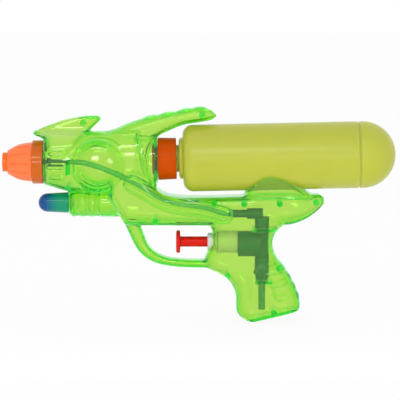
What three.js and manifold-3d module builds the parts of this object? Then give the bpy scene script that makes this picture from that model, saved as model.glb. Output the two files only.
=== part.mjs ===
// A toy water pistol: two clear moulded half shells around a plunger pump, with a screw-in bottle.
// Millimetres. +Z is up and the muzzle points along -X. The halves meet on the plane Y = 0.
// The origin is where the plunger's axis crosses the upright axis of the valves, inside the grip.

import * as THREE from 'three';
import { mergeVertices } from 'three/addons/utils/BufferGeometryUtils.js';
import Module from 'manifold-3d';

const wasm = await Module();
wasm.setup();

// Walls and fits
const WALL = 2.0;
const FIT = 0.3;
const RUNNING_FIT = 0.15;

// Nozzle, on an axis above the trigger
const NOZZLE_Z = 58.5;
const BARREL_FACE_X = -158.8;
const NOZZLE_LENGTH = 30;
const NOZZLE_WALL = 1.8;
const COLLAR_LENGTH = 8.4;
const COLLAR_R = 15.9;
const CONE_R = 14.5;
const CONE_MIDDLE_R = 13.1;
const SHOULDER_R = 8.8;
const TIP_R = 7.0;
const TIP_LENGTH = 3.7;
const JET_HOLE_R = 3.4;
const FLUTES = 12;
const FLUTE_DEPTH = 0.7;
const SPIGOT_LENGTH = 7.4;

// Jet stem and its rubber washer
const STEM_R = 1.9;
const STEM_BORE_R = 0.5;
const STEM_FLANGE_R = 3.7;
const STEM_FLANGE_THICKNESS = 1.6;
const STEM_WASHER_THICKNESS = 1.0;
const STEM_LENGTH = 12;
const BARB_R = 0.9;
const BARB_LENGTH = 6;

// Hose from the pump's elbow to the jet stem
const HOSE_R = 2.0;
const HOSE_BORE_R = 1.3;

// Bottle and its socket, on an axis that rises towards the bottle's end
const BOTTLE_SEAT_X = -76.0;
const BOTTLE_SEAT_Z = 60.8;
const BOTTLE_TILT = 1.2;
const BOTTLE_R = 24.3;
const BOTTLE_REACH = 173;
const BOTTLE_WALL = 1.4;
const BOTTLE_GROOVE_DEPTH = 0.7;
const BOTTLE_GROOVE_WIDTH = 2.4;
const BOTTLE_GROOVE_FROM_DOME = 2.6;
const SHOULDER_RADIUS = 7.4;
const COLLAR_STEP_R = 15.0;
const COLLAR_STEP_LENGTH = 2.8;
const NECK_R = 9.8;
const NECK_WALL = 1.6;
const NECK_SHOWN = 2.0;
const SOCKET_LENGTH = 13.2;
const SOCKET_R = 15.4;
const SOCKET_DRAFT = 0.4;
const SOCKET_WALL = 2.0;
const SOCKET_BORE_R = 11.2;
const SOCKET_PORT_R = 6.0;
const SOCKET_SPIGOT_R = 8.5;
const SOCKET_FLANGE_R = 11.0;
const SOCKET_FLANGE_THICKNESS = 1.6;
const GASKET_THICKNESS = 1.8;
const BOSS_R = 17.6;
const BOSS_LENGTH = 11;
const RAIL_GAP = 3.6;
const CRADLE_GAP = 0.7;
const ARM_GAP = 1.2;

// Lamp cap and the ribbed tube that carries it
const TORCH_Z = 28.8;
const TORCH_FACE_X = -140.9;
const TORCH_FACE_R = 8.0;
const TORCH_R = 10.5;
const TORCH_LENGTH = 40;
const TORCH_RIB_PITCH = 7.0;
const TORCH_RIBS = 3;
const TORCH_RIB_DEPTH = 0.8;
const LAMP_LENGTH = 22;
const LAMP_R = 7.6;
const LAMP_NOSE_R = 6.8;
const LAMP_WALL = 1.3;
const LAMP_SPIGOT_LENGTH = 11;

// Round dome on each side of the body
const DOME_X = -119.1;
const DOME_Z = 57.2;
const DOME_RING_R = 19.0;
const DOME_RING_Y = 17.9;
const DOME_RING_WIDTH = 2.0;
const DOME_CROWN_Y = 20.6;

// Trigger, plunger and pump barrel, along X
const BUTTON_R = 8.3;
const BUTTON_THICKNESS = 3.0;
const BUTTON_X = -62.8;
const ROD_R = 3.8;
const ROD_LENGTH = 21.5;
const PLUNGER_STUB_R = 1.9;
const PLUNGER_STUB_LENGTH = 6;
const PISTON_R = 4.7;
const PISTON_LENGTH = 3.6;
const SEAL_R = 5.0;
const SEAL_LENGTH = 1.6;
const SEAL_SEAT_R = 3.4;
const SNOUT_R = 6.4;
const SNOUT_X = -39.8;
const BARREL_R = 8.1;
const BARREL_SHOULDER_X = -32.4;
const BARREL_BORE_R = 5.3;
const BARREL_FRONT_WALL = 1.6;
const BARREL_WASHER_THICKNESS = 1.0;
const BARREL_SPIGOT_R = 6.6;
const BARREL_SPIGOT_LENGTH = 6;
const RETURN_WIRE_R = 0.35;
const RETURN_COIL_R = 4.2;
const RETURN_TURNS = 4;

// Valve block with its outlet elbow above and its inlet below
const BLOCK_X = -17.5;
const BLOCK_R = 9.3;
const BLOCK_Z = -1.5;
const TURRET_R = 5.2;
const CHAMBER_R = 3.3;
const PORT_R = 3.0;
const VALVE_SPIGOT_R = 4.2;
const VALVE_SPIGOT_LENGTH = 2.4;
const BALL_R = 2.2;
const SEAT_R = 1.5;
const ELBOW_R = 5.2;
const ELBOW_HEIGHT = 10;
const ELBOW_ARM_R = 4.1;
const ELBOW_ARM_REACH = 10.9;
const ELBOW_STUB_R = 2.9;
const ELBOW_STUB_REACH = 22.5;
const ELBOW_WALL = 1.6;
const OUTLET_WIRE_R = 0.25;
const OUTLET_COIL_R = 1.6;
const OUTLET_TURNS = 3;
const INLET_R = 5.2;
const INLET_LENGTH = 12;
const INLET_TAPER_R = 3.6;
const INLET_TAPER_LENGTH = 8;
const DIP_R = 2.5;
const DIP_WALL = 0.8;
const DIP_SOCKET_DEPTH = 5;
const DIP_GAP = 4.5;

// Slanted butt of the grip
const BUTT_TILT = 13.3;
const BUTT_X = -8.8;
const BUTT_Z = -58.8;

// Locating pins between the halves, as [x, z]
const PIN_R = 1.3;
const PIN_LENGTH = 3.0;
const PIN_BOSS_R = 2.3;
const PINS = [
  [-130, 87.4], [-141, 40.5], [-77.6, 16.6], [-35, 29.3], [-13.4, 29.3], [12.4, 29.3],
  [39, 29.6], [-43.8, 93.4], [12.4, -19.1], [-25, -24.3], [8.7, -51.5],
];

// Ribs inside the halves that hold the pump and the jet stem
const SHELF_THICKNESS = 2.2;
const UPPER_SHELF_X = [-7.3, 11];
const LOWER_SHELF_X = [-5, 7.5];
const STEM_RIB_DROP = 8;
const STEM_RIB_RISE = 3.2;

const DEG = Math.PI / 180;

// A smooth curve y(x) through a few points, which never swings past them
function through(points) {
  const last = points.length - 1;
  const slope = (i) => (points[i + 1][1] - points[i][1]) / (points[i + 1][0] - points[i][0]);
  const tangents = points.map((point, i) => {
    if (i === 0 || i === last) return slope(Math.min(i, last - 1));
    const before = slope(i - 1);
    const after = slope(i);
    return before * after > 0 ? (2 * before * after) / (before + after) : 0;
  });
  return (x) => {
    let i = 0;
    while (i < last - 1 && x > points[i + 1][0]) i += 1;
    const [x0, y0] = points[i];
    const [x1, y1] = points[i + 1];
    const span = x1 - x0;
    const t = THREE.MathUtils.clamp((x - x0) / span, 0, 1);
    const rise = t * t * (3 - 2 * t);
    return y0 + (y1 - y0) * rise
      + span * (tangents[i] * t * (1 - t) ** 2 - tangents[i + 1] * t * t * (1 - t));
  };
}

// The geometry with its triangles turned so that they face outwards
function outward(geometry) {
  const bare = geometry.clone();
  bare.deleteAttribute('normal');
  bare.deleteAttribute('uv');
  const merged = mergeVertices(bare, 1e-4);
  const place = merged.attributes.position;
  const corner = (i) => new THREE.Vector3().fromBufferAttribute(place, i);
  const index = Array.from(merged.index.array);
  const kept = [];
  let volume = 0;
  for (let i = 0; i < index.length; i += 3) {
    const [a, b, c] = index.slice(i, i + 3);
    if (a === b || b === c || c === a) continue;
    kept.push([a, b, c]);
    volume += corner(a).dot(corner(b).cross(corner(c)));
  }
  merged.setIndex(kept.flatMap(([a, b, c]) => (volume > 0 ? [a, b, c] : [a, c, b])));
  return merged;
}

// Skins rings of points that all have as many points; a loop of rings closes on itself, like a pipe
function skin(rings, isLoop = false) {
  const count = rings[0].length;
  const points = rings.flat();
  const index = [];
  const spans = isLoop ? rings.length : rings.length - 1;
  for (let r = 0; r < spans; r += 1) {
    const below = r * count;
    const above = ((r + 1) % rings.length) * count;
    for (let s = 0; s < count; s += 1) {
      const next = (s + 1) % count;
      index.push(below + s, below + next, above + next, below + s, above + next, above + s);
    }
  }
  const cap = (ring, first, turned) => {
    const middle = points.length;
    points.push(ring.reduce((sum, p) => sum.add(p), new THREE.Vector3()).divideScalar(count));
    for (let s = 0; s < count; s += 1) {
      const next = (s + 1) % count;
      index.push(middle, first + (turned ? next : s), first + (turned ? s : next));
    }
  };
  if (!isLoop) {
    cap(rings[0], 0, true);
    cap(rings.at(-1), (rings.length - 1) * count, false);
  }
  const geometry = new THREE.BufferGeometry().setFromPoints(points);
  geometry.setIndex(index);
  return outward(geometry);
}

// A profile of [along, radius] points turned about an axis through the origin
function revolve(profile, segments, axis) {
  const lathe = new THREE.LatheGeometry(profile.map(([along, r]) => new THREE.Vector2(r, along)), segments);
  if (axis === 'x') lathe.rotateZ(-Math.PI / 2);
  if (axis === 'z') lathe.rotateX(Math.PI / 2);
  return outward(lathe);
}

// A hollow profile closes on itself
const ringProfile = (points) => [...points, points[0]];

function cylinder(from, to, r, segments, axis) {
  return revolve([[from, 0], [from, r], [to, r], [to, 0]], segments, axis);
}

function box(low, high) {
  const size = high.map((v, i) => v - low[i]);
  const block = new THREE.BoxGeometry(...size);
  return block.translate(...low.map((v, i) => v + size[i] / 2));
}

function toSolid(geometry) {
  const closed = outward(geometry);
  return new wasm.Manifold(new wasm.Mesh({
    numProp: 3,
    vertProperties: new Float32Array(closed.attributes.position.array),
    triVerts: new Uint32Array(closed.index.array),
  }));
}

function toGeometry(solid) {
  const mesh = solid.getMesh();
  const geometry = new THREE.BufferGeometry();
  geometry.setAttribute('position', new THREE.BufferAttribute(mesh.vertProperties, mesh.numProp));
  geometry.setIndex(new THREE.BufferAttribute(mesh.triVerts, 1));
  return geometry;
}

const join = (solids) => solids.reduce((sum, next) => sum.add(next));
const cut = (solid, tools) => tools.reduce((rest, tool) => rest.subtract(tool), solid);

// One point of a rounded section: square 2 is an ellipse, more is boxier
function sectionPoint(angle, a, b, square) {
  const bend = (v) => Math.sign(v) * Math.abs(v) ** (2 / square);
  return [a * bend(Math.cos(angle)), b * bend(Math.sin(angle))];
}

const THINNEST = 0.4;

// Stations between two ends, closer together near both when eased
function stations(from, to, steps, isEased) {
  return Array.from({ length: steps + 1 }, (_, i) => {
    const t = isEased ? (1 - Math.cos((Math.PI * i) / steps)) / 2 : i / steps;
    return from + (to - from) * t;
  });
}

// The hollow inside a form is drawn with less detail than its outside
const detailOf = (form, inset) => (inset > 0 ? { ...form, ...form.inner } : form);

// A body along X whose top, bottom and half width are curves of x
function loftAlongX(outline, inset) {
  const form = detailOf(outline, inset);
  const rings = stations(form.from + inset, form.to - inset, form.steps, form.isEased).map((x) => {
    const top = form.top(x) - inset;
    const bottom = form.bottom(x) + inset;
    const a = Math.max((top - bottom) / 2, THINNEST);
    const b = Math.max(form.half(x) - inset, THINNEST);
    return Array.from({ length: form.sides }, (_, s) => {
      const [z, y] = sectionPoint((2 * Math.PI * s) / form.sides, a, b, form.square(x));
      return new THREE.Vector3(x, y, (top + bottom) / 2 + z);
    });
  });
  return toSolid(skin(rings));
}

// A body along Z whose front, back and half width are curves of z
function loftAlongZ(outline, inset) {
  const form = detailOf(outline, inset);
  const rings = stations(form.from + inset, form.to - inset, form.steps, form.isEased).map((z) => {
    const front = form.front(z) + inset;
    const back = form.back(z) - inset;
    const a = Math.max((back - front) / 2, THINNEST);
    const b = Math.max(form.half(z) - inset, THINNEST);
    return Array.from({ length: form.sides }, (_, s) => {
      const [x, y] = sectionPoint((2 * Math.PI * s) / form.sides, a, b, form.square(z));
      return new THREE.Vector3((front + back) / 2 + x, y, z);
    });
  });
  return toSolid(skin(rings));
}

// A limb along a curve in the plane Y = 0, with its width across the curve as a function of 0 to 1
function loftAlongCurve(outline, inset) {
  const form = detailOf(outline, inset);
  const rings = stations(0, 1, form.steps, false).map((t) => {
    const middle = form.curve.getPointAt(t);
    const along = form.curve.getTangentAt(t);
    const across = new THREE.Vector3(-along.z, 0, along.x);
    const a = Math.max(form.width(t) / 2 - inset, THINNEST);
    const b = Math.max(form.half - inset, THINNEST);
    return Array.from({ length: form.sides }, (_, s) => {
      const [u, y] = sectionPoint((2 * Math.PI * s) / form.sides, a, b, form.square);
      return middle.clone().addScaledVector(across, u).setY(y);
    });
  });
  return toSolid(skin(rings));
}

// The bottle's own frame: its origin on the seat, +X along the bottle
const bottleFrame = new THREE.Matrix4()
  .makeTranslation(BOTTLE_SEAT_X, 0, BOTTLE_SEAT_Z)
  .multiply(new THREE.Matrix4().makeRotationY(-BOTTLE_TILT * DEG));
const bottleAxisZ = (x) => BOTTLE_SEAT_Z + (x - BOTTLE_SEAT_X) * Math.tan(BOTTLE_TILT * DEG);
const bottleTopZ = (x) => bottleAxisZ(x) + BOTTLE_R;
const railZ = (x) => bottleAxisZ(x) - BOTTLE_R - RAIL_GAP;

// Barrel and chamber, from the nozzle back to the shoulder in front of the bottle
const CHAMBER_BACK_X = -90;
const CHAMBER_TOP_Z = 81.3;
const CHAMBER_BOTTOM_Z = 35;
const CHAMBER_HALF = 17.4;
const BARREL_R_FRONT = 16.5;
const CHAMBER_CROWN_X = -136.5;
const CHAMBER_KEEL_X = -140.2;
const CHAMBER_FULL_X = -136;
const CHAMBER_BOXY_X = -125;
const chamberForm = {
  from: BARREL_FACE_X,
  to: CHAMBER_BACK_X,
  top: through([
    [BARREL_FACE_X, NOZZLE_Z + BARREL_R_FRONT], [CHAMBER_CROWN_X, CHAMBER_TOP_Z - 1.4],
    [-116.8, CHAMBER_TOP_Z], [CHAMBER_BACK_X, CHAMBER_TOP_Z]]),
  bottom: through([
    [BARREL_FACE_X, NOZZLE_Z - BARREL_R_FRONT], [CHAMBER_KEEL_X, CHAMBER_BOTTOM_Z + 2.2],
    [-118.3, CHAMBER_BOTTOM_Z], [CHAMBER_BACK_X, CHAMBER_BOTTOM_Z]]),
  half: through([
    [BARREL_FACE_X, BARREL_R_FRONT], [CHAMBER_FULL_X, CHAMBER_HALF], [CHAMBER_BACK_X, CHAMBER_HALF]]),
  square: through([[BARREL_FACE_X, 2], [CHAMBER_BOXY_X, 2.6], [CHAMBER_BACK_X, 3]]),
  steps: 5,
  sides: 16,
  inner: { steps: 3, sides: 12 },
};

// Receiver, from under the chamber back to the tail, with its flat deck under the bottle
const RECEIVER_HALF = 16;
const RECEIVER_FLOOR_Z = 12.9;
const TAIL_X = 45;
const receiverForm = {
  from: -111,
  to: TAIL_X,
  top: through([
    [-111, 54], [-92, 63], [-84, 48.2], [-77.4, 40.2], [-67, railZ(-67) + 1.6], [-52, railZ(-52)],
    [40.5, railZ(40.5)], [TAIL_X, railZ(TAIL_X) - 2.5]]),
  bottom: through([
    [-111, 33.5], [-104.4, 21], [-99, RECEIVER_FLOOR_Z + 0.4], [-90, RECEIVER_FLOOR_Z],
    [7, RECEIVER_FLOOR_Z], [19, RECEIVER_FLOOR_Z + 0.5], [30, 16.6], [39.4, 22.5], [TAIL_X, 28]]),
  half: through([[-111, 17], [-60, RECEIVER_HALF], [12, RECEIVER_HALF - 0.5], [32, 12.5], [TAIL_X, 4.5]]),
  square: () => 5,
  steps: 16,
  sides: 12,
  isEased: true,
  inner: { steps: 16, sides: 8 },
};

// Narrow neck between the chamber's shoulder and the bottle's seat
const neckForm = {
  from: -104,
  to: BOTTLE_SEAT_X - 1,
  top: through([[-104, 79], [BOTTLE_SEAT_X, 77.5]]),
  bottom: () => 38,
  half: through([[-104, 16.8], [-90, 16.4], [BOTTLE_SEAT_X, 12.6]]),
  square: () => 3.5,
  steps: 3,
  sides: 12,
  inner: { steps: 2, sides: 8 },
};

// Arm that reaches back over the bottle, scalloped along its top
const ARM_TIP_X = -33.4;
const ARM_SCALLOP_PITCH = 12.4;
const ARM_SCALLOP_DEPTH = 0.9;
const ARM_SCALLOPS_X = [-88, -40];
const armTop = through([
  [-118, 80.6], [-109.5, 82.2], [-96.4, 87.6], [-82, 91.8],
  [-63.5, bottleTopZ(-63.5) + 10], [-46, bottleTopZ(-46) + 12.6], [-39.4, bottleTopZ(-39.4) + 11.6],
  [-35.4, bottleTopZ(-35.4) + 9.3], [ARM_TIP_X, bottleTopZ(ARM_TIP_X) + 6.6]]);
const scallop = (x) => {
  if (x < ARM_SCALLOPS_X[0] || x > ARM_SCALLOPS_X[1]) return 0;
  return ARM_SCALLOP_DEPTH * Math.abs(Math.sin((Math.PI * (x - ARM_SCALLOPS_X[0])) / ARM_SCALLOP_PITCH));
};
const armForm = {
  from: -118,
  to: ARM_TIP_X,
  top: (x) => armTop(x) + scallop(x),
  bottom: through([
    [-118, 72], [-84, 72], [-76.5, 76.8], [-73.5, 78.8], [-67, 81.8],
    [-56, bottleTopZ(-56) + ARM_GAP - 0.7], [-45, bottleTopZ(-45) + ARM_GAP + 0.8],
    [-36.5, bottleTopZ(-36.5) + ARM_GAP + 2.4], [ARM_TIP_X, bottleTopZ(ARM_TIP_X) + ARM_GAP + 4.6]]),
  half: through([[-118, 9], [-96, 11], [-82, 10], [-64, 8.5], [-46, 7.6], [-37, 5.4], [ARM_TIP_X, 1.6]]),
  square: () => 2.6,
  steps: 24,
  sides: 8,
  inner: { steps: 8, sides: 8, top: armTop },
};

// Hood over the barrel that rises into a swept-back fin
const HOOD_BOTTOM_Z = 58;
const FIN_TOP_Z = 92.4;
const COLLAR_TOP_Z = NOZZLE_Z + COLLAR_R;
const BROW_X = -166.4;
const BROW_UNDER_X = -165;
const BROW_OVER_X = -161.5;
const HOOD_BACK_X = -141.5;
const HOOD_WAIST_X = -139;
const FIN_ROOT_X = -132;
const hoodForm = {
  from: HOOD_BOTTOM_Z,
  to: FIN_TOP_Z,
  front: through([
    [HOOD_BOTTOM_Z, BARREL_FACE_X + 0.5], [COLLAR_TOP_Z + 1, BARREL_FACE_X + 0.5],
    [COLLAR_TOP_Z + 2.6, BARREL_FACE_X - 1], [COLLAR_TOP_Z + 4.3, BROW_UNDER_X], [80.4, BROW_X],
    [83, BROW_OVER_X], [86.5, -152.6], [90.2, -140.9], [FIN_TOP_Z, -128]]),
  back: through([
    [HOOD_BOTTOM_Z, HOOD_BACK_X], [63.7, HOOD_WAIST_X], [74.7, FIN_ROOT_X], [80.2, -127], [86.5, -120.5],
    [90.2, -117.2], [FIN_TOP_Z, -118.6]]),
  half: through([
    [HOOD_BOTTOM_Z, 18], [63.7, 17.7], [69.6, 15.4], [74.7, 11], [80.2, 6.4], [86.5, 4.4],
    [FIN_TOP_Z, 2.6]]),
  square: () => 3,
  steps: 11,
  sides: 10,
  inner: { steps: 7, sides: 8 },
};

// Trigger guard
const GUARD_POINTS = [
  [-96.5, 18], [-91.4, 5.6], [-86, -5], [-77, -11.8], [-63.5, -15.1], [-42.3, -16], [-32, -16.4],
];
const guardForm = {
  curve: new THREE.CatmullRomCurve3(GUARD_POINTS.map(([x, z]) => new THREE.Vector3(x, 0, z))),
  width: through([[0, 11], [0.16, 10], [0.36, 8], [0.6, 6], [1, 6]]),
  half: 7.6,
  square: 3,
  steps: 11,
  sides: 8,
  inner: { steps: 8, sides: 8 },
};

// Grip, with finger ribs down its back and a slanted butt
const GRIP_TOP_Z = 18;
const GRIP_WAIST_X = TURRET_R + FIT + WALL + 0.2;
const GRIP_RIB_PITCH = 7.0;
const GRIP_RIB_DEPTH = 0.8;
const GRIP_RIBS_Z = [-42, -14];
const gripBack = through([
  [-62, 14], [-53, 24.5], [-50.3, 27], [-46.5, 28], [-42, 27.4], [-35, 25.2], [-26.8, 21.4], [-18.7, 16.4],
  [-12, 11.6], [-6, GRIP_WAIST_X + 0.9], [-1, GRIP_WAIST_X], [5, GRIP_WAIST_X + 1.1], [10, 12.4],
  [GRIP_TOP_Z, 24]]);
const gripRib = (z) => {
  if (z < GRIP_RIBS_Z[0] || z > GRIP_RIBS_Z[1]) return 0;
  return GRIP_RIB_DEPTH * Math.abs(Math.sin((Math.PI * (z - GRIP_RIBS_Z[0])) / GRIP_RIB_PITCH));
};
const gripForm = {
  from: -62,
  to: GRIP_TOP_Z,
  front: through([
    [-62, -2], [-59.5, -6], [-57.7, -11.5], [-54, -16.7], [-49.6, -18.9], [-40, -19.1], [-32.7, -21.2],
    [-26.8, -25.6], [-21.6, -34], [-18.3, -40.5], [-13, -42], [-6.2, -39.6], [0, -36.6], [8.5, -36.6],
    [14, -40], [GRIP_TOP_Z, -44]]),
  back: (z) => gripBack(z) + gripRib(z),
  half: through([[-62, 11], [-40, 12.2], [-12, 13], [0, 14], [GRIP_TOP_Z, 15]]),
  square: () => 4,
  steps: 26,
  sides: 10,
  inner: { steps: 12, sides: 8, back: gripBack },
};
const buttSlope = Math.tan(BUTT_TILT * DEG);
const buttZ = (x) => BUTT_Z + (x - BUTT_X) * buttSlope;

// Everything below the butt's plane, moved up into the grip by the inset
function belowButt(inset) {
  const block = box([-100, -60, -100], [100, 60, inset / Math.cos(BUTT_TILT * DEG)]);
  block.rotateY(-BUTT_TILT * DEG);
  return toSolid(block.translate(BUTT_X, 0, BUTT_Z));
}

// Cup that rises on both sides of the bottle; the bottle's bed is cut from it
const CUP_TOP_Z = 49.6;
const CUP_CREST_HALF = 23.6;
const cupForm = {
  from: 22,
  to: CUP_TOP_Z,
  front: through([[22, -14], [34, -13.4], [39, -12], [44, -8.6], [47.6, -4.4], [CUP_TOP_Z, 1.2]]),
  back: through([[22, 37], [34, 36.6], [38.3, 31.5], [44.4, 22.5], [47.6, 16.5], [CUP_TOP_Z, 11]]),
  half: through([[22, 14], [33, RECEIVER_HALF], [38, 18.4], [44, 21], [CUP_TOP_Z, CUP_CREST_HALF]]),
  square: () => 4,
  steps: 7,
  sides: 12,
  inner: { steps: 5, sides: 8 },
};

const alongBottle = (geometry) => toSolid(geometry.applyMatrix4(bottleFrame));

function cupSolid(inset) {
  const bedR = BOTTLE_R + CRADLE_GAP + inset;
  const bed = alongBottle(cylinder(0, BOTTLE_REACH, bedR, inset > 0 ? 20 : 28, 'x'));
  return loftAlongZ(cupForm, inset).subtract(bed);
}

// Round boss that the bottle's socket seats on
function bossSolid(inset) {
  const r = BOSS_R - inset;
  return alongBottle(revolve([
    [-BOSS_LENGTH - 4 + inset, 0], [-BOSS_LENGTH - 4 + inset, r - 4], [-BOSS_LENGTH + inset, r],
    [-inset, r], [-inset, 0]], inset > 0 ? 12 : 20, 'x'));
}

// Tube under the barrel, ribbed like a torch, which carries the lamp cap
function torchSolid(inset) {
  const ribStart = TORCH_FACE_X + 3.1;
  const wave = (x) => TORCH_RIB_DEPTH * Math.sin((Math.PI * (x - ribStart)) / TORCH_RIB_PITCH) ** 2;
  const ribs = stations(ribStart, ribStart + TORCH_RIBS * TORCH_RIB_PITCH, TORCH_RIBS * 4, false);
  const plainR = TORCH_R - TORCH_RIB_DEPTH - inset;
  const profile = inset > 0 ? [[ribStart + inset, plainR]] : ribs.map((x) => [x, TORCH_R - wave(x)]);
  const back = TORCH_FACE_X + TORCH_LENGTH - inset;
  return toSolid(revolve([
    [TORCH_FACE_X + inset, 0], [TORCH_FACE_X + inset, TORCH_FACE_R - inset], ...profile,
    [back, profile.at(-1)[1]], [back, 0]], inset > 0 ? 10 : 14, 'x').translate(0, 0, TORCH_Z));
}

// Dome and its ring on both sides, turned about a crosswise axis; inside it is a plain lens
function domeSolid(inset) {
  const lensR = DOME_RING_R - DOME_RING_WIDTH - 0.6 - inset;
  const rimY = DOME_RING_Y - 1 - inset;
  const lens = stations(0, Math.PI / 2, inset > 0 ? 2 : 3, false)
    .map((angle) => [rimY + (DOME_CROWN_Y - DOME_RING_Y + 1) * Math.cos(angle), lensR * Math.sin(angle)]);
  const ring = [
    [rimY, lensR + 0.6], [rimY + 1, lensR + 1], [rimY + 1, DOME_RING_R - 0.4], [rimY, DOME_RING_R]];
  const side = inset > 0 ? lens : [...lens, ...ring];
  const far = side.map(([y, r]) => [-y, r]).reverse();
  return toSolid(revolve([...side, ...far], inset > 0 ? 12 : 20, 'y').translate(DOME_X, 0, DOME_Z));
}

// The whole body, filled; with an inset it is the hollow inside it
function bodySolid(inset) {
  const grip = loftAlongZ(gripForm, inset).subtract(belowButt(inset));
  return join([
    loftAlongX(chamberForm, inset), loftAlongX(receiverForm, inset), loftAlongX(neckForm, inset),
    loftAlongX(armForm, inset), loftAlongZ(hoodForm, inset), loftAlongCurve(guardForm, inset),
    grip, cupSolid(inset), bossSolid(inset), torchSolid(inset), domeSolid(inset)]);
}

// Where the pieces of the pump meet, worked out from front to back and upwards
const pistonX = BARREL_SHOULDER_X + BARREL_FRONT_WALL + FIT;
const pistonBackX = pistonX + PISTON_LENGTH;
const barrelWasherX = BARREL_SHOULDER_X - FIT - BARREL_WASHER_THICKNESS;
const barrelBackX = BLOCK_X - FIT;
const barrelEndX = BLOCK_X + BARREL_SPIGOT_LENGTH;
const springSeatX = barrelEndX + FIT + 1;
const blockTopZ = BLOCK_Z + BLOCK_R;
const blockBottomZ = BLOCK_Z - BLOCK_R;
const elbowBottomZ = blockTopZ + FIT;
const elbowTopZ = elbowBottomZ + ELBOW_HEIGHT;
const elbowArmZ = elbowTopZ + ELBOW_ARM_R - 1.6;
const inletTopZ = blockBottomZ - FIT;
const inletTaperZ = inletTopZ - INLET_LENGTH;
const inletBottomZ = inletTaperZ - INLET_TAPER_LENGTH;
const dipTopZ = inletBottomZ + DIP_SOCKET_DEPTH - FIT;
const dipBottomZ = buttZ(0) + WALL + DIP_GAP;
const frontWallX = BARREL_FACE_X + WALL;
const washerX = frontWallX + FIT;
const flangeX = washerX + STEM_WASHER_THICKNESS + FIT;
const flangeBackX = flangeX + STEM_FLANGE_THICKNESS;
const stemEndX = flangeBackX + STEM_LENGTH;
const barbEndX = stemEndX + BARB_LENGTH;
const hoseStartX = stemEndX + FIT;
const hoseEndX = -ELBOW_STUB_REACH + 8;
const spigotR = COLLAR_R - NOZZLE_WALL - FIT;
const lampSpigotR = LAMP_NOSE_R - LAMP_WALL - FIT;

// The hose's middle line, from the jet stem down to the elbow
const HOSE_POINTS = [
  [-125.6, NOZZLE_Z - 1.7], [-114.6, NOZZLE_Z - 5.4], [-104, NOZZLE_Z - 10], [-90, NOZZLE_Z - 16.7],
  [-77, NOZZLE_Z - 24.3], [-63, NOZZLE_Z - 29.8], [-48, elbowArmZ + 5.8], [-36, elbowArmZ + 3],
];
const hoseCurve = new THREE.CatmullRomCurve3([
  [hoseStartX, NOZZLE_Z], [barbEndX + 1, NOZZLE_Z], ...HOSE_POINTS,
  [-ELBOW_STUB_REACH - 3, elbowArmZ], [-ELBOW_STUB_REACH + 2, elbowArmZ], [hoseEndX, elbowArmZ],
].map(([x, z]) => new THREE.Vector3(x, 0, z)));

// Spigots in front of the shells, which the nozzle and the lamp cap grip so that the halves stay shut
function spigotSolids() {
  const spigot = (faceX, length, r, segments) => revolve(ringProfile([
    [faceX - length, r], [faceX + WALL / 2, r], [faceX + WALL / 2, r - WALL], [faceX - length, r - WALL]]),
  segments, 'x');
  const nozzleSpigot = spigot(BARREL_FACE_X, SPIGOT_LENGTH, spigotR, 32);
  const lampSpigot = spigot(TORCH_FACE_X, LAMP_SPIGOT_LENGTH, lampSpigotR, 16);
  return [toSolid(nozzleSpigot.translate(0, 0, NOZZLE_Z)), toSolid(lampSpigot.translate(0, 0, TORCH_Z))];
}

// Shelves and ribs that reach in from the side walls, cut to clear what they hold
function ribSolids() {
  const upperZ = elbowBottomZ + FIT;
  const upper = box([UPPER_SHELF_X[0], -60, upperZ], [UPPER_SHELF_X[1], 60, upperZ + SHELF_THICKNESS]);
  const lowerZ = inletBottomZ + 1;
  const lower = box([LOWER_SHELF_X[0], -60, lowerZ], [LOWER_SHELF_X[1], 60, lowerZ + SHELF_THICKNESS]);
  const stemRib = box(
    [stemEndX - 2, -60, NOZZLE_Z - STEM_RIB_DROP], [stemEndX + 1.6, 60, NOZZLE_Z + STEM_RIB_RISE]);
  const neckHole = cylinder(upperZ - 1, upperZ + SHELF_THICKNESS + 1, ELBOW_R + FIT, 20, 'z');
  const inletHole = cylinder(lowerZ - 1, lowerZ + SHELF_THICKNESS + 1, INLET_TAPER_R + 1.1, 20, 'z');
  const stemHole = cylinder(stemEndX - 3, stemEndX + 3, HOSE_R + FIT, 12, 'x').translate(0, 0, NOZZLE_Z);
  return [
    toSolid(upper).subtract(toSolid(neckHole)),
    toSolid(lower).subtract(toSolid(inletHole)),
    toSolid(stemRib).subtract(toSolid(stemHole)),
  ];
}

// Holes for the jet stem, the pump's snout and the bottle's socket, and the pump's flat seat
function holeSolids() {
  const pumpSeatX = BARREL_SHOULDER_X - BARREL_WASHER_THICKNESS - 2 * FIT;
  const pumpSeat = cylinder(pumpSeatX, BLOCK_X, BARREL_R + FIT, 24, 'x');
  const stem = cylinder(BARREL_FACE_X - 1, frontWallX + 1, STEM_R + FIT, 16, 'x').translate(0, 0, NOZZLE_Z);
  const snout = cylinder(SNOUT_X - 10, BARREL_SHOULDER_X, SNOUT_R + FIT, 24, 'x');
  const socket = cylinder(-WALL - 1, 1, SOCKET_SPIGOT_R + FIT, 28, 'x');
  return [toSolid(stem), toSolid(snout), toSolid(pumpSeat), alongBottle(socket)];
}

function pinCylinders(r, fromY, toY, segments) {
  return PINS.map(([x, z]) => toSolid(cylinder(fromY, toY, r, segments, 'y').translate(x, 0, z)));
}

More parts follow.
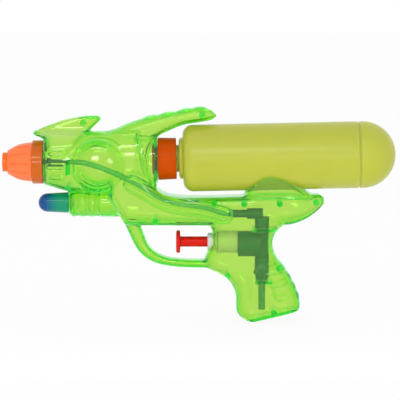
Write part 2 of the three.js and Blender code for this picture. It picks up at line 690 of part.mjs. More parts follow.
function shellGeometries() {
  const hollow = bodySolid(WALL);
  const wall = bodySolid(0).subtract(hollow);
  const inner = bodySolid(WALL / 2);
  const ribs = join(ribSolids()).intersect(inner);
  const bosses = join(pinCylinders(PIN_BOSS_R, -60, 60, 6)).intersect(inner);
  const whole = cut(join([wall, ribs, bosses, ...spigotSolids()]), holeSolids());
  const far = 300;
  const leftSide = toSolid(box([-far, -far, -far], [far, 0, far]));
  const rightSide = toSolid(box([-far, 0, -far], [far, far, far]));
  const pins = join(pinCylinders(PIN_R, -1, PIN_LENGTH, 6));
  const sockets = join(pinCylinders(PIN_R + FIT, -1, PIN_LENGTH + FIT, 6));
  return {
    left: toGeometry(whole.intersect(leftSide).add(pins)),
    right: toGeometry(whole.intersect(rightSide).subtract(sockets)),
  };
}

// Nozzle: a fluted cone on a collar, open at both ends, with places forward from the barrel's face
function nozzleGeometry() {
  const points = FLUTES * 3;
  const coneEnd = NOZZLE_LENGTH - TIP_LENGTH;
  const coneMiddle = (COLLAR_LENGTH + coneEnd) / 2;
  const coneR = through([[COLLAR_LENGTH, CONE_R], [coneMiddle, CONE_MIDDLE_R], [coneEnd, SHOULDER_R]]);
  const fluteDepth = through([
    [COLLAR_LENGTH, 0], [COLLAR_LENGTH + 3, FLUTE_DEPTH], [coneEnd - 3, FLUTE_DEPTH], [coneEnd, 0]]);
  const ring = (forward, r, depth) => Array.from({ length: points }, (_, s) => {
    const angle = (2 * Math.PI * s) / points;
    const radius = s % 3 === 0 ? r - depth : r;
    const z = NOZZLE_Z + radius * Math.cos(angle);
    return new THREE.Vector3(BARREL_FACE_X - forward, radius * Math.sin(angle), z);
  });
  const cone = stations(COLLAR_LENGTH, coneEnd, 3, false).map((f) => ring(f, coneR(f), fluteDepth(f)));
  const outside = toSolid(skin([
    ring(FIT, COLLAR_R, 0), ring(COLLAR_LENGTH, COLLAR_R, 0), ...cone,
    ring(coneEnd, TIP_R, 0), ring(NOZZLE_LENGTH, TIP_R, 0)]));
  const insideWall = NOZZLE_WALL + FLUTE_DEPTH;
  const insideStart = Math.max(SPIGOT_LENGTH + FIT, COLLAR_LENGTH);
  const inside = revolve([
    [0, 0], [0, COLLAR_R - NOZZLE_WALL], [insideStart, COLLAR_R - NOZZLE_WALL],
    [insideStart, CONE_R - insideWall], [coneMiddle, CONE_MIDDLE_R - insideWall],
    [coneEnd - NOZZLE_WALL, SHOULDER_R - insideWall], [coneEnd - NOZZLE_WALL, JET_HOLE_R],
    [NOZZLE_LENGTH + 1, JET_HOLE_R], [NOZZLE_LENGTH + 1, 0]], 20, 'x');
  inside.scale(-1, 1, 1);
  return toGeometry(outside.subtract(toSolid(inside.translate(BARREL_FACE_X, 0, NOZZLE_Z))));
}

// Jet stem: a bored tube from the nozzle's tip to the hose, with a flange behind the barrel's front wall
function stemGeometry() {
  const tipX = BARREL_FACE_X - NOZZLE_LENGTH + TIP_LENGTH / 2;
  const jetR = JET_HOLE_R - FIT;
  return revolve(ringProfile([
    [tipX, STEM_BORE_R], [tipX, jetR], [tipX + TIP_LENGTH, jetR], [tipX + TIP_LENGTH, STEM_R],
    [flangeX, STEM_R], [flangeX, STEM_FLANGE_R], [flangeBackX, STEM_FLANGE_R], [flangeBackX, STEM_R],
    [stemEndX, STEM_R], [stemEndX, BARB_R], [barbEndX, BARB_R], [barbEndX, STEM_BORE_R],
  ]), 10, 'x').translate(0, 0, NOZZLE_Z);
}

function washerGeometry(fromX, thickness, boreR, r, segments) {
  return revolve(ringProfile([
    [fromX, boreR], [fromX, r], [fromX + thickness, r], [fromX + thickness, boreR]]), segments, 'x');
}

function stemWasherGeometry() {
  const washer = washerGeometry(washerX, STEM_WASHER_THICKNESS, STEM_R + FIT, STEM_FLANGE_R, 14);
  return washer.translate(0, 0, NOZZLE_Z);
}

const polygon = (r, sides) => Array.from({ length: sides }, (_, s) => {
  const angle = (2 * Math.PI * s) / sides;
  return new THREE.Vector2(r * Math.cos(angle), r * Math.sin(angle));
});

function hoseGeometry() {
  const section = new THREE.Shape(polygon(HOSE_R, 8));
  section.holes.push(new THREE.Path(polygon(HOSE_BORE_R, 6).reverse()));
  const settings = { steps: 22, bevelEnabled: false, extrudePath: hoseCurve };
  return outward(new THREE.ExtrudeGeometry(section, settings));
}

// Coil spring along an axis, as one unbroken wire
class Helix extends THREE.Curve {
  constructor(start, end, r, turns) {
    super();
    Object.assign(this, { start, end, r, turns });
  }

  getPoint(t) {
    const angle = 2 * Math.PI * this.turns * t;
    const along = this.start + (this.end - this.start) * t;
    return new THREE.Vector3(this.r * Math.cos(angle), this.r * Math.sin(angle), along);
  }
}

function springGeometry(name, length, coilR, wireR, turns) {
  const helix = new Helix(wireR, length - wireR, coilR, turns);
  const gap = (length - 2 * wireR) / turns - 2 * wireR;
  console.log(`${name}: least gap between curls ${gap.toFixed(2)} mm`);
  const wire = new THREE.Shape(polygon(wireR, 5));
  const settings = { steps: turns * 8, bevelEnabled: false, extrudePath: helix };
  return outward(new THREE.ExtrudeGeometry(wire, settings));
}

// Trigger: a round button on a rod, with a blind hole for the plunger's stub
function triggerGeometry() {
  const back = BUTTON_X + BUTTON_THICKNESS;
  const end = back + ROD_LENGTH;
  const holeR = PLUNGER_STUB_R + RUNNING_FIT;
  const holeX = end - PLUNGER_STUB_LENGTH - FIT;
  return revolve([
    [BUTTON_X, 0], [BUTTON_X, BUTTON_R - 1.6], [BUTTON_X + 0.8, BUTTON_R - 0.3],
    [BUTTON_X + BUTTON_THICKNESS / 2, BUTTON_R],
    [back - 0.5, BUTTON_R - 0.4], [back, BUTTON_R - 1.4], [back + 0.4, ROD_R + 0.8], [back + 1.2, ROD_R],
    [end, ROD_R], [end, holeR], [holeX, holeR], [holeX, 0]], 20, 'x');
}

const rodEndX = BUTTON_X + BUTTON_THICKNESS + ROD_LENGTH;

function plungerGeometry() {
  const sealFrom = pistonX + (PISTON_LENGTH - SEAL_LENGTH) / 2 - FIT;
  const sealTo = sealFrom + SEAL_LENGTH + 2 * FIT;
  const stubX = rodEndX - PLUNGER_STUB_LENGTH;
  return revolve([
    [stubX, 0], [stubX, PLUNGER_STUB_R], [rodEndX + FIT, PLUNGER_STUB_R],
    [rodEndX + FIT, ROD_R - 0.2], [pistonX, ROD_R - 0.2], [pistonX, PISTON_R], [sealFrom, PISTON_R],
    [sealFrom, SEAL_SEAT_R], [sealTo, SEAL_SEAT_R], [sealTo, PISTON_R], [pistonBackX, PISTON_R],
    [pistonBackX, 0]], 16, 'x');
}

function sealGeometry() {
  const from = pistonX + (PISTON_LENGTH - SEAL_LENGTH) / 2;
  return washerGeometry(from, SEAL_LENGTH, SEAL_SEAT_R + FIT, SEAL_R, 20);
}

// Pump barrel: a snout that shows through the grip's front, the main bore and a spigot for the valve block
function barrelGeometry() {
  const rodHoleR = ROD_R + FIT;
  return revolve(ringProfile([
    [SNOUT_X, rodHoleR], [SNOUT_X, SNOUT_R], [BARREL_SHOULDER_X, SNOUT_R], [BARREL_SHOULDER_X, BARREL_R],
    [barrelBackX, BARREL_R], [barrelBackX, BARREL_SPIGOT_R], [barrelEndX, BARREL_SPIGOT_R],
    [barrelEndX, BARREL_BORE_R], [BARREL_SHOULDER_X + BARREL_FRONT_WALL, BARREL_BORE_R],
    [BARREL_SHOULDER_X + BARREL_FRONT_WALL, rodHoleR]]), 20, 'x');
}

// Valve block: a drum on the barrel's spigot and a turret with the valves above and below
function blockGeometry() {
  const drum = toSolid(cylinder(BLOCK_X, -1, BLOCK_R, 20, 'x').translate(0, 0, BLOCK_Z));
  const turret = toSolid(cylinder(blockBottomZ, blockTopZ, TURRET_R, 16, 'z'));
  const barrelSocket = toSolid(cylinder(BLOCK_X - 1, barrelEndX + FIT, BARREL_SPIGOT_R + FIT, 20, 'x'));
  const springWell = toSolid(cylinder(BLOCK_X, springSeatX, RETURN_COIL_R + RETURN_WIRE_R + FIT, 16, 'x'));
  const chamber = toSolid(cylinder(BLOCK_X, 1, CHAMBER_R, 12, 'x'));
  const port = toSolid(cylinder(blockBottomZ - 1, blockTopZ + 1, PORT_R, 12, 'z'));
  const spigotR = VALVE_SPIGOT_R + FIT;
  const spigotDepth = VALVE_SPIGOT_LENGTH + FIT;
  const above = toSolid(cylinder(blockTopZ - spigotDepth, blockTopZ + 1, spigotR, 16, 'z'));
  const below = toSolid(cylinder(blockBottomZ - 1, blockBottomZ + spigotDepth, spigotR, 16, 'z'));
  return toGeometry(cut(drum.add(turret), [barrelSocket, springWell, chamber, port, above, below]));
}

// Outlet elbow: an upright valve chamber, an arm forward and a stub that takes the hose
function elbowGeometry() {
  const seatZ = elbowBottomZ - VALVE_SPIGOT_LENGTH;
  const ballZ = seatZ + 1.6;
  const upright = toSolid(revolve([
    [seatZ, 0], [seatZ, VALVE_SPIGOT_R], [elbowBottomZ, VALVE_SPIGOT_R], [elbowBottomZ, ELBOW_R],
    [elbowTopZ, ELBOW_R], [elbowTopZ, 0]], 16, 'z'));
  const forward = (from, to, r, segments) => (
    toSolid(cylinder(from, to, r, segments, 'x').translate(0, 0, elbowArmZ)));
  const arm = forward(-ELBOW_ARM_REACH, 0.6, ELBOW_ARM_R, 16);
  const stub = forward(-ELBOW_STUB_REACH, -ELBOW_ARM_REACH + 1, ELBOW_STUB_R, 14);
  const ceilingZ = elbowTopZ - ELBOW_WALL;
  const valveBore = toSolid(revolve([
    [seatZ - 1, 0], [seatZ - 1, SEAT_R], [ballZ, SEAT_R], [ballZ + 1, BALL_R + FIT],
    [ceilingZ, BALL_R + FIT], [ceilingZ, 0]], 12, 'z'));
  const armBore = forward(-ELBOW_STUB_REACH - 1, -1, HOSE_BORE_R, 8);
  const crossBore = toSolid(cylinder(ceilingZ - 1, elbowArmZ, HOSE_BORE_R, 8, 'z').translate(-1, 0, 0));
  const hoseSocket = forward(-ELBOW_STUB_REACH - 1, hoseEndX + FIT, HOSE_R + FIT, 14);
  return toGeometry(cut(join([upright, arm, stub]), [valveBore, armBore, crossBore, hoseSocket]));
}

const outletBallZ = elbowBottomZ - VALVE_SPIGOT_LENGTH + 1.6 + 1 + FIT + BALL_R * 0.62;
const outletSpringZ = outletBallZ + BALL_R + RUNNING_FIT;
const outletSpringLength = elbowTopZ - ELBOW_WALL - RUNNING_FIT - outletSpringZ;

// Inlet: a valve chamber under the block that tapers to the dip tube's socket
function inletGeometry() {
  const topZ = inletTopZ + VALVE_SPIGOT_LENGTH;
  const seatZ = inletTaperZ + 1;
  const tubeR = DIP_R + FIT;
  return revolve(ringProfile([
    [topZ, PORT_R], [topZ, VALVE_SPIGOT_R], [inletTopZ, VALVE_SPIGOT_R], [inletTopZ, INLET_R],
    [inletTaperZ, INLET_R], [inletBottomZ, INLET_TAPER_R], [inletBottomZ, tubeR],
    [inletBottomZ + DIP_SOCKET_DEPTH, tubeR], [inletBottomZ + DIP_SOCKET_DEPTH, SEAT_R],
    [seatZ, SEAT_R], [seatZ + 1, PORT_R]]), 16, 'z');
}

const inletBallZ = inletTaperZ + 2 + BALL_R * 0.72;

function dipGeometry() {
  const boreR = DIP_R - DIP_WALL;
  return revolve(ringProfile([
    [dipTopZ, boreR], [dipTopZ, DIP_R], [dipBottomZ, DIP_R], [dipBottomZ, boreR]]), 14, 'z');
}

// Positions along the bottle, from its seat
const socketFace = FIT;
const socketFloor = socketFace + SOCKET_WALL;
const gasketFrom = socketFloor + FIT;
const lip = gasketFrom + GASKET_THICKNESS + FIT;
const socketEnd = socketFace + SOCKET_LENGTH;

// Socket: a ring that the bottle screws into, held by a flange behind the boss's wall
function socketGeometry() {
  const behind = -WALL - FIT;
  const flangeFrom = behind - SOCKET_FLANGE_THICKNESS;
  return revolve(ringProfile([
    [socketEnd, SOCKET_BORE_R], [socketEnd, SOCKET_R - SOCKET_DRAFT], [socketFace, SOCKET_R],
    [socketFace, SOCKET_SPIGOT_R], [behind, SOCKET_SPIGOT_R], [behind, SOCKET_FLANGE_R],
    [flangeFrom, SOCKET_FLANGE_R], [flangeFrom, SOCKET_PORT_R], [socketFloor, SOCKET_PORT_R],
    [socketFloor, SOCKET_BORE_R]]), 24, 'x');
}

// Bottle: blown in one piece, with a stepped shoulder, a groove and a round end
function bottleProfile(inset) {
  const stepFrom = socketEnd + NECK_SHOWN;
  const shoulderFrom = stepFrom + COLLAR_STEP_LENGTH;
  const domeFrom = BOTTLE_REACH - BOTTLE_R;
  const grooveAt = domeFrom - BOTTLE_GROOVE_FROM_DOME;
  const isInside = inset > 0;
  const shoulder = stations(0, Math.PI / 2, isInside ? 2 : 3, false).map((angle) => [
    shoulderFrom + SHOULDER_RADIUS * (1 - Math.cos(angle)) + inset * Math.cos(angle),
    BOTTLE_R - SHOULDER_RADIUS * (1 - Math.sin(angle)) - inset * Math.sin(angle)]);
  const dome = stations(0, Math.PI / 2, isInside ? 4 : 6, false).map((angle) => [
    domeFrom + (BOTTLE_R - inset) * Math.sin(angle), (BOTTLE_R - inset) * Math.cos(angle)]);
  const groove = [
    [grooveAt - BOTTLE_GROOVE_WIDTH / 2, BOTTLE_R], [grooveAt, BOTTLE_R - BOTTLE_GROOVE_DEPTH],
    [grooveAt + BOTTLE_GROOVE_WIDTH / 2, BOTTLE_R]];
  return [
    [stepFrom + inset, COLLAR_STEP_R - 1.6 - inset], [stepFrom + 1 + inset, COLLAR_STEP_R - inset],
    [shoulderFrom + inset, COLLAR_STEP_R - inset], ...shoulder, ...(isInside ? [] : groove), ...dome];
}

function bottleGeometry() {
  const outside = bottleProfile(0);
  const inside = bottleProfile(BOTTLE_WALL).reverse();
  const stepFrom = socketEnd + NECK_SHOWN;
  const boreR = NECK_R - NECK_WALL;
  return revolve(ringProfile([
    [lip, boreR], [lip, NECK_R], [stepFrom, NECK_R], ...outside, ...inside,
    [stepFrom + BOTTLE_WALL, boreR]]), 24, 'x');
}

// Lamp cap: a bullet-shaped cover that slides over the tube's spigot
function lampGeometry() {
  const base = TORCH_FACE_X - FIT;
  const noseFrom = base - LAMP_LENGTH + LAMP_NOSE_R;
  const nose = (r) => stations(0, Math.PI / 2, 4, false)
    .map((angle) => [noseFrom - r * Math.sin(angle), r * Math.cos(angle)]);
  const outside = [[base, LAMP_R], ...nose(LAMP_NOSE_R)];
  const inside = [...nose(LAMP_NOSE_R - LAMP_WALL).reverse(), [base, LAMP_R - LAMP_WALL]];
  return revolve(ringProfile([...outside, ...inside]), 16, 'x').translate(0, 0, TORCH_Z);
}

function finish(color, roughness) {
  return new THREE.MeshStandardMaterial({ color, roughness, metalness: 0 });
}

function piece(name, geometry, material) {
  const mesh = new THREE.Mesh(geometry, material);
  mesh.name = name;
  return mesh;
}

const clearGreen = () => finish(0x8fdc4a, 0.15);
const pumpBlue = () => finish(0x5a8aa8, 0.45);
const milkyWhite = () => finish(0xeef0e6, 0.5);
const blackRubber = () => finish(0x26282a, 0.8);
const steel = () => new THREE.MeshStandardMaterial({ color: 0xb9bcc0, roughness: 0.3, metalness: 1 });

const shells = shellGeometries();
const pistol = new THREE.Group();
pistol.add(
  piece('left_shell', shells.left, clearGreen()),
  piece('right_shell', shells.right, clearGreen()),
  piece('nozzle', nozzleGeometry(), finish(0xff6a2a, 0.3)),
  piece('jet_stem', stemGeometry(), pumpBlue()),
  piece('stem_washer', stemWasherGeometry(), blackRubber()),
  piece('hose', hoseGeometry(), finish(0x61c5ba, 0.4)),
  piece('lamp_cap', lampGeometry(), finish(0x1a58b4, 0.15)),
  piece('trigger', triggerGeometry(), finish(0xd22018, 0.3)),
  piece('plunger', plungerGeometry(), milkyWhite()),
  piece('piston_seal', sealGeometry(), blackRubber()),
  piece('pump_barrel', barrelGeometry(), milkyWhite()),
  piece('barrel_washer',
    washerGeometry(barrelWasherX, BARREL_WASHER_THICKNESS, SNOUT_R + FIT, BARREL_R, 20), blackRubber()),
  piece('valve_block', blockGeometry(), pumpBlue()),
  piece('outlet_elbow', elbowGeometry(), pumpBlue()),
  piece('outlet_ball', new THREE.SphereGeometry(BALL_R, 10, 8).translate(0, 0, outletBallZ), steel()),
  piece('inlet_body', inletGeometry(), pumpBlue()),
  piece('inlet_ball', new THREE.SphereGeometry(BALL_R, 10, 8).translate(0, 0, inletBallZ), steel()),
  piece('dip_tube', dipGeometry(), finish(0x6f9fae, 0.4)),
);

// Springs lie along their own Z axis, so each is placed by its mesh
const returnSpringLength = springSeatX - FIT - (pistonBackX + FIT);
const returnSpring = piece('return_spring',
  springGeometry('return_spring', returnSpringLength, RETURN_COIL_R, RETURN_WIRE_R, RETURN_TURNS), steel());
returnSpring.position.x = pistonBackX + FIT;
returnSpring.rotation.y = Math.PI / 2;
const outletSpring = piece('outlet_spring',
  springGeometry('outlet_spring', outletSpringLength, OUTLET_COIL_R, OUTLET_WIRE_R, OUTLET_TURNS), steel());
outletSpring.position.z = outletSpringZ;
pistol.add(returnSpring, outletSpring);

// The bottle and what it screws into share the bottle's tilted axis
const bottleGroup = new THREE.Group();
bottleGroup.position.set(BOTTLE_SEAT_X, 0, BOTTLE_SEAT_Z);
bottleGroup.rotation.y = -BOTTLE_TILT * DEG;
bottleGroup.add(
  piece('bottle_socket', socketGeometry(), finish(0xe0620a, 0.35)),
  piece('bottle_gasket',
    washerGeometry(gasketFrom, GASKET_THICKNESS, SOCKET_PORT_R + FIT, SOCKET_BORE_R - FIT, 24),
    blackRubber()),
  piece('bottle', bottleGeometry(), finish(0xd2d552, 0.45)),
);
pistol.add(bottleGroup);

export default pistol;
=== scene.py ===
"""Dresses a clear toy water pistol: moulded half shells around a plunger pump, with a screw-in bottle."""

import math

import bmesh
import bpy
import numpy as np
from bpy.props import FloatProperty, FloatVectorProperty, IntProperty, PointerProperty
from mathutils import Matrix, Vector


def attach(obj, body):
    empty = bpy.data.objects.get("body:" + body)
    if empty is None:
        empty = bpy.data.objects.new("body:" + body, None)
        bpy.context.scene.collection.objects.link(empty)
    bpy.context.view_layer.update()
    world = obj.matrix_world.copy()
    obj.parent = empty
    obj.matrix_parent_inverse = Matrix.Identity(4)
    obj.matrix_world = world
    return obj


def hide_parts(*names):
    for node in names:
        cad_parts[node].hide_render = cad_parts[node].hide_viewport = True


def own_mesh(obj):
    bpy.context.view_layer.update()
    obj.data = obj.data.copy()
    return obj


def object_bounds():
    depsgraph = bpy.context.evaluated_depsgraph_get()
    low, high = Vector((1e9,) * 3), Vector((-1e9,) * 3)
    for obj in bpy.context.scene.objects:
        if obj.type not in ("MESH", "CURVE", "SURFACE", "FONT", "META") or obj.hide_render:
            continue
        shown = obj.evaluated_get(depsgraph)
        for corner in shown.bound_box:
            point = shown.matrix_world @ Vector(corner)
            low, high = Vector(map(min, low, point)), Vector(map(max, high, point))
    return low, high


bl_info = {
    "name": "Water Pistol",
    "version": (1, 0, 0),
    "blender": (4, 5, 0),
    "location": "View3D > Sidebar > Pistol",
    "description": "Builds the dressed pieces of a clear toy water pistol around its CAD frame",
    "category": "Add Mesh",
}

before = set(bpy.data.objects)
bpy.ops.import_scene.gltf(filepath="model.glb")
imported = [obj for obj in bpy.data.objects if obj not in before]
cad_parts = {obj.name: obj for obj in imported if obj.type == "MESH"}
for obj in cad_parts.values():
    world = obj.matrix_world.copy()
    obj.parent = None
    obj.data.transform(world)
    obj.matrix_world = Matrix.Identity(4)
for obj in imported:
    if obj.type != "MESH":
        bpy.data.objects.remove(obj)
CAD_BOX = [list(corner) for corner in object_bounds()]

MM = 0.001
WALL = 2.0
FIT = 0.3

# Sizes shared with the CAD model, in millimetres
NOZZLE_Z = 58.5
BARREL_FACE_X = -158.8
TORCH_Z = 28.8
TORCH_FACE_X = -140.9
BOTTLE_SEAT = (-76.0, 0.0, 60.8)
BOTTLE_TILT = math.radians(1.2)
BOTTLE_R = 24.3
BUTT_TILT = math.radians(13.3)
BUTT_X = -8.8
BUTT_Z = -58.8
TURRET_R = 5.2

# The bottle along its own axis, from its seat
BOTTLE_WALL = 1.4
BOTTLE_NECK_X = 15.5
BOTTLE_NECK_R = 9.8
BOTTLE_BORE_R = 8.2
BOTTLE_SHOULDER_X = 18.3
BOTTLE_SHOULDER_R = 7.4
BOTTLE_GROOVE_X = 146.1
BOTTLE_END_X = 148.7

# The photograph's view: looking along +Y from a little above, with a long lens
VIEW_ELEVATION = math.radians(7.0)
VIEW_CENTRE = (-0.0453, 0.0, 0.0306)
VIEW_DISTANCE = 1.4
VIEW_WIDTH = 0.292
FLOOR_GAP = 0.0004
FLOOR_REACH = 6.0
FLOOR_WHITE = (0.93, 0.93, 0.93, 1)
FLOOR_SEEN_WHITE = 0.9
WORLD_LIGHT = 0.88
# Light that enters the clear shell crosses many walls before it leaves
GLASS_BOUNCES = 32
# Lamps: place, aim and size in metres, power in watts, and whether mirrors and glass show them
LAMPS = {
    "Key": ((-0.05, -1.15, 0.72), (-0.05, 0, 0.04), (0.7, 0.12), 2.6, True),
    "Left box": ((-0.27, -1.49, 0.21), (-0.1, 0, 0.05), (0.25, 0.15), 1.0, True),
    "Right box": ((0.34, -1.45, 0.13), (-0.1, 0, 0.05), (0.25, 0.2), 0.8, True),
    "Table fill": ((0.0, -0.2, -0.052), (0.0, 0, 0.045), (0.4, 0.03), 0.22, False),
}

# The darkest tint that the clear plastic takes, and the size of the clouds in the cloudy one
DARKEST = 0.004
CLOUD_MM = 25


def linear(code):
    """An sRGB hex colour as linear red, green, blue and alpha."""
    parts = [int(code[i:i + 2], 16) / 255 for i in (1, 3, 5)]
    return tuple(c / 12.92 if c <= 0.04045 else ((c + 0.055) / 1.055) ** 2.4 for c in parts) + (1.0,)


# Curves and sections
def through(points):
    """A smooth curve y(x) through a few points, which never swings past them."""
    xs, ys = (np.array(values, float) for values in zip(*points))
    slopes = np.diff(ys) / np.diff(xs)
    tangents = np.empty(len(xs))
    tangents[0], tangents[-1] = slopes[0], slopes[-1]
    before, after = slopes[:-1], slopes[1:]
    same = before * after > 0
    total = np.where(same, before + after, 1.0)
    tangents[1:-1] = np.where(same, 2 * before * after / total, 0.0)

    def curve(x):
        x = np.asarray(x, float)
        i = np.clip(np.searchsorted(xs, x) - 1, 0, len(xs) - 2)
        span = xs[i + 1] - xs[i]
        t = np.clip((x - xs[i]) / span, 0, 1)
        rise = t * t * (3 - 2 * t)
        bend = tangents[i] * t * (1 - t) ** 2 - tangents[i + 1] * t * t * (1 - t)
        return ys[i] + (ys[i + 1] - ys[i]) * rise + span * bend

    return curve


def section(sides, square):
    """Unit section: square 2 is an ellipse, more is boxier. The rows follow the stations of a loft."""
    angle = 2 * math.pi * np.arange(sides) / sides
    power = 2 / np.asarray(square, float).reshape(-1, 1)
    bend = lambda v: np.sign(v) * np.abs(v) ** power
    return bend(np.cos(angle)), bend(np.sin(angle))


THINNEST = 0.4


def loft(form, inset, steps=90, sides=72):
    """Rings of a body along X, between its bottom and top, or along Z, between its front and back."""
    axis, low, high = (0, "bottom", "top") if "top" in form else (2, "front", "back")
    along = np.linspace(form["from"] + inset, form["to"] - inset, steps)
    low, high = form[low](along) + inset, form[high](along) - inset
    tall = np.maximum((high - low) / 2, THINNEST)
    wide = np.maximum(form["half"](along) - inset, THINNEST)
    u, v = section(sides, form["square"](along))
    rings = np.empty((steps, sides, 3))
    rings[..., axis] = along[:, None]
    rings[..., 1] = wide[:, None] * v
    rings[..., 2 - axis] = ((low + high) / 2)[:, None] + tall[:, None] * u
    return rings


def spline(points, count):
    """A smooth line in the plane Y = 0 through [x, z] points, at even steps of its length."""
    points = np.array(points, float)
    along = np.concatenate([[0], np.cumsum(np.hypot(*np.diff(points, axis=0).T))])
    fine = np.linspace(0, along[-1], 40 * len(points))
    x, z = (cubic(along, points[:, k])(fine) for k in (0, 1))
    length = np.concatenate([[0], np.cumsum(np.hypot(np.diff(x), np.diff(z)))])
    even = np.linspace(0, length[-1], count)
    return np.stack([np.interp(even, length, x), np.zeros(count), np.interp(even, length, z)], axis=1)


def cubic(xs, ys):
    """A natural cubic spline y(x)."""
    n = len(xs)
    h = np.diff(xs)
    system, right = np.eye(n), np.zeros(n)
    for i in range(1, n - 1):
        system[i, i - 1:i + 2] = h[i - 1], 2 * (h[i - 1] + h[i]), h[i]
        right[i] = 6 * ((ys[i + 1] - ys[i]) / h[i] - (ys[i] - ys[i - 1]) / h[i - 1])
    m = np.linalg.solve(system, right)

    def curve(x):
        i = np.clip(np.searchsorted(xs, x) - 1, 0, n - 2)
        a, b = xs[i + 1] - x, x - xs[i]
        return ((m[i] * a ** 3 + m[i + 1] * b ** 3) / (6 * h[i])
                + (ys[i] / h[i] - m[i] * h[i] / 6) * a + (ys[i + 1] / h[i] - m[i + 1] * h[i] / 6) * b)

    return curve


def sweep(path, wide, half, sides, square=2.0):
    """Rings of a limb along a line in the plane Y = 0, wide across the line and half in Y."""
    along = np.gradient(path, axis=0)
    along /= np.linalg.norm(along, axis=1)[:, None]
    across = np.stack([-along[:, 2], np.zeros(len(path)), along[:, 0]], axis=1)
    u, v = section(sides, np.full(len(path), square))
    wide = np.broadcast_to(wide, len(path))
    rings = path[:, None, :] + (wide[:, None] * u)[..., None] * across[:, None, :]
    rings[..., 1] = half * v
    return rings


def rounded(points, radius, steps=4):
    """A profile whose inner corners are rounded."""
    result = [points[0]]
    for before, corner, after in zip(points, points[1:], points[2:]):
        b, c, a = (np.array(p, float) for p in (before, corner, after))
        one, two = b - c, a - c
        one_long, two_long = np.linalg.norm(one), np.linalg.norm(two)
        reach = min(radius, 0.42 * one_long, 0.42 * two_long)
        start, end = c + one / one_long * reach, c + two / two_long * reach
        # A point just outside each end of the arc keeps the straight stretch beside it flat in the light
        result.append(tuple(c + one / one_long * reach * 1.15))
        for t in np.linspace(0, 1, steps):
            result.append(tuple((1 - t) ** 2 * start + 2 * t * (1 - t) * c + t * t * end))
        result.append(tuple(c + two / two_long * reach * 1.15))
    result.append(points[-1])
    return result


def closed(profile, radius, steps=4):
    """A closed profile with every corner rounded."""
    middle = tuple((np.array(profile[0]) + np.array(profile[-1])) / 2)
    return rounded([middle, *profile, middle], radius, steps)


def turned(profile, segments, axis="x", centre=(0, 0, 0)):
    """Rings of [along, radius] points turned about an axis."""
    along, radius = np.array(profile, float).T
    angle = 2 * math.pi * np.arange(segments) / segments
    one, two = radius[:, None] * np.sin(angle), radius[:, None] * np.cos(angle)
    run = np.broadcast_to(along[:, None], one.shape)
    order = {"x": (run, one, two), "y": (one, run, two), "z": (one, two, run)}[axis]
    return np.stack(order, axis=-1) + np.array(centre, float)


# Meshes
def mesh_of(name, ring_sets, matrix=None, loop=False):
    """One mesh, in metres, that skins each set of rings as a closed body."""
    verts, faces = [], []
    for rings in ring_sets:
        steps, sides = rings.shape[:2]
        first = sum(len(v) for v in verts)
        verts.append(rings.reshape(-1, 3))
        for r in range(steps if loop else steps - 1):
            low, high = first + r * sides, first + ((r + 1) % steps) * sides
            for s in range(sides):
                after = (s + 1) % sides
                faces.append((low + s, low + after, high + after, high + s))
        if not loop:
            faces.append(tuple(first + s for s in range(sides))[::-1])
            faces.append(tuple(first + (steps - 1) * sides + s for s in range(sides)))
    mesh = bpy.data.meshes.new(name)
    mesh.from_pydata((np.concatenate(verts) * MM).tolist(), [], faces)
    work = bmesh.new()
    work.from_mesh(mesh)
    bmesh.ops.remove_doubles(work, verts=work.verts, dist=1e-7)
    bmesh.ops.dissolve_degenerate(work, edges=work.edges, dist=1e-8)
    bmesh.ops.recalc_face_normals(work, faces=work.faces)
    work.to_mesh(mesh)
    work.free()
    if matrix is not None:
        mesh.transform(matrix)
    return mesh


def box_mesh(low, high):
    """A box between two corners, in millimetres."""
    mesh = bpy.data.meshes.new("Box")
    work = bmesh.new()
    bmesh.ops.create_cube(work, size=1)
    work.to_mesh(mesh)
    work.free()
    low, high = np.array(low) * MM, np.array(high) * MM
    place = Matrix.Translation(Vector((low + high) / 2)) @ Matrix.Diagonal((*(high - low), 1))
    mesh.transform(place)
    return mesh


def evaluated(mesh, *modifiers):
    """The mesh after modifiers, each given as (type, settings and node inputs)."""
    obj = bpy.data.objects.new("Work", mesh)
    bpy.context.scene.collection.objects.link(obj)
    for kind, settings in modifiers:
        modifier = obj.modifiers.new(kind, kind)
        for key, value in settings.items():
            if hasattr(modifier, key):
                setattr(modifier, key, value)
            else:
                modifier[key] = value
    graph = bpy.context.evaluated_depsgraph_get()
    result = bpy.data.meshes.new_from_object(obj.evaluated_get(graph), depsgraph=graph)
    bpy.data.objects.remove(obj)
    return result


def combined(mesh, operation, *others):
    """The mesh joined with, cut by or kept inside other closed meshes."""
    for other in others:
        tool = bpy.data.objects.new("Tool", other)
        bpy.context.scene.collection.objects.link(tool)
        mesh = evaluated(mesh, ("BOOLEAN", {"operation": operation, "object": tool, "solver": "MANIFOLD"}))
        bpy.data.objects.remove(tool)
    return mesh


def moved_points(mesh, function):
    """Moves the mesh's points by a function of places and normals, in millimetres."""
    count = len(mesh.vertices)
    place, normal = np.empty(count * 3, np.float32), np.empty(count * 3, np.float32)
    mesh.vertices.foreach_get("co", place)
    mesh.vertex_normals.foreach_get("vector", normal)
    place = place.reshape(-1, 3) / MM
    place = place + function(place.astype(float), normal.reshape(-1, 3).astype(float))
    mesh.vertices.foreach_set("co", (place * MM).astype(np.float32).ravel())
    mesh.update()
    return mesh


SHARP_EDGE = math.radians(35)


def show(name, mesh, material, body, node):
    """A finished piece: smooth shaded, riding on its body, in place of its CAD node."""
    mesh.name = name
    obj = bpy.data.objects.new(name, mesh)
    bpy.context.scene.collection.objects.link(obj)
    mesh.materials.clear()
    mesh.materials.append(material)
    mesh.shade_smooth()
    mesh.set_sharp_from_angle(angle=SHARP_EDGE)
    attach(obj, body)
    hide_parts(node)
    return obj


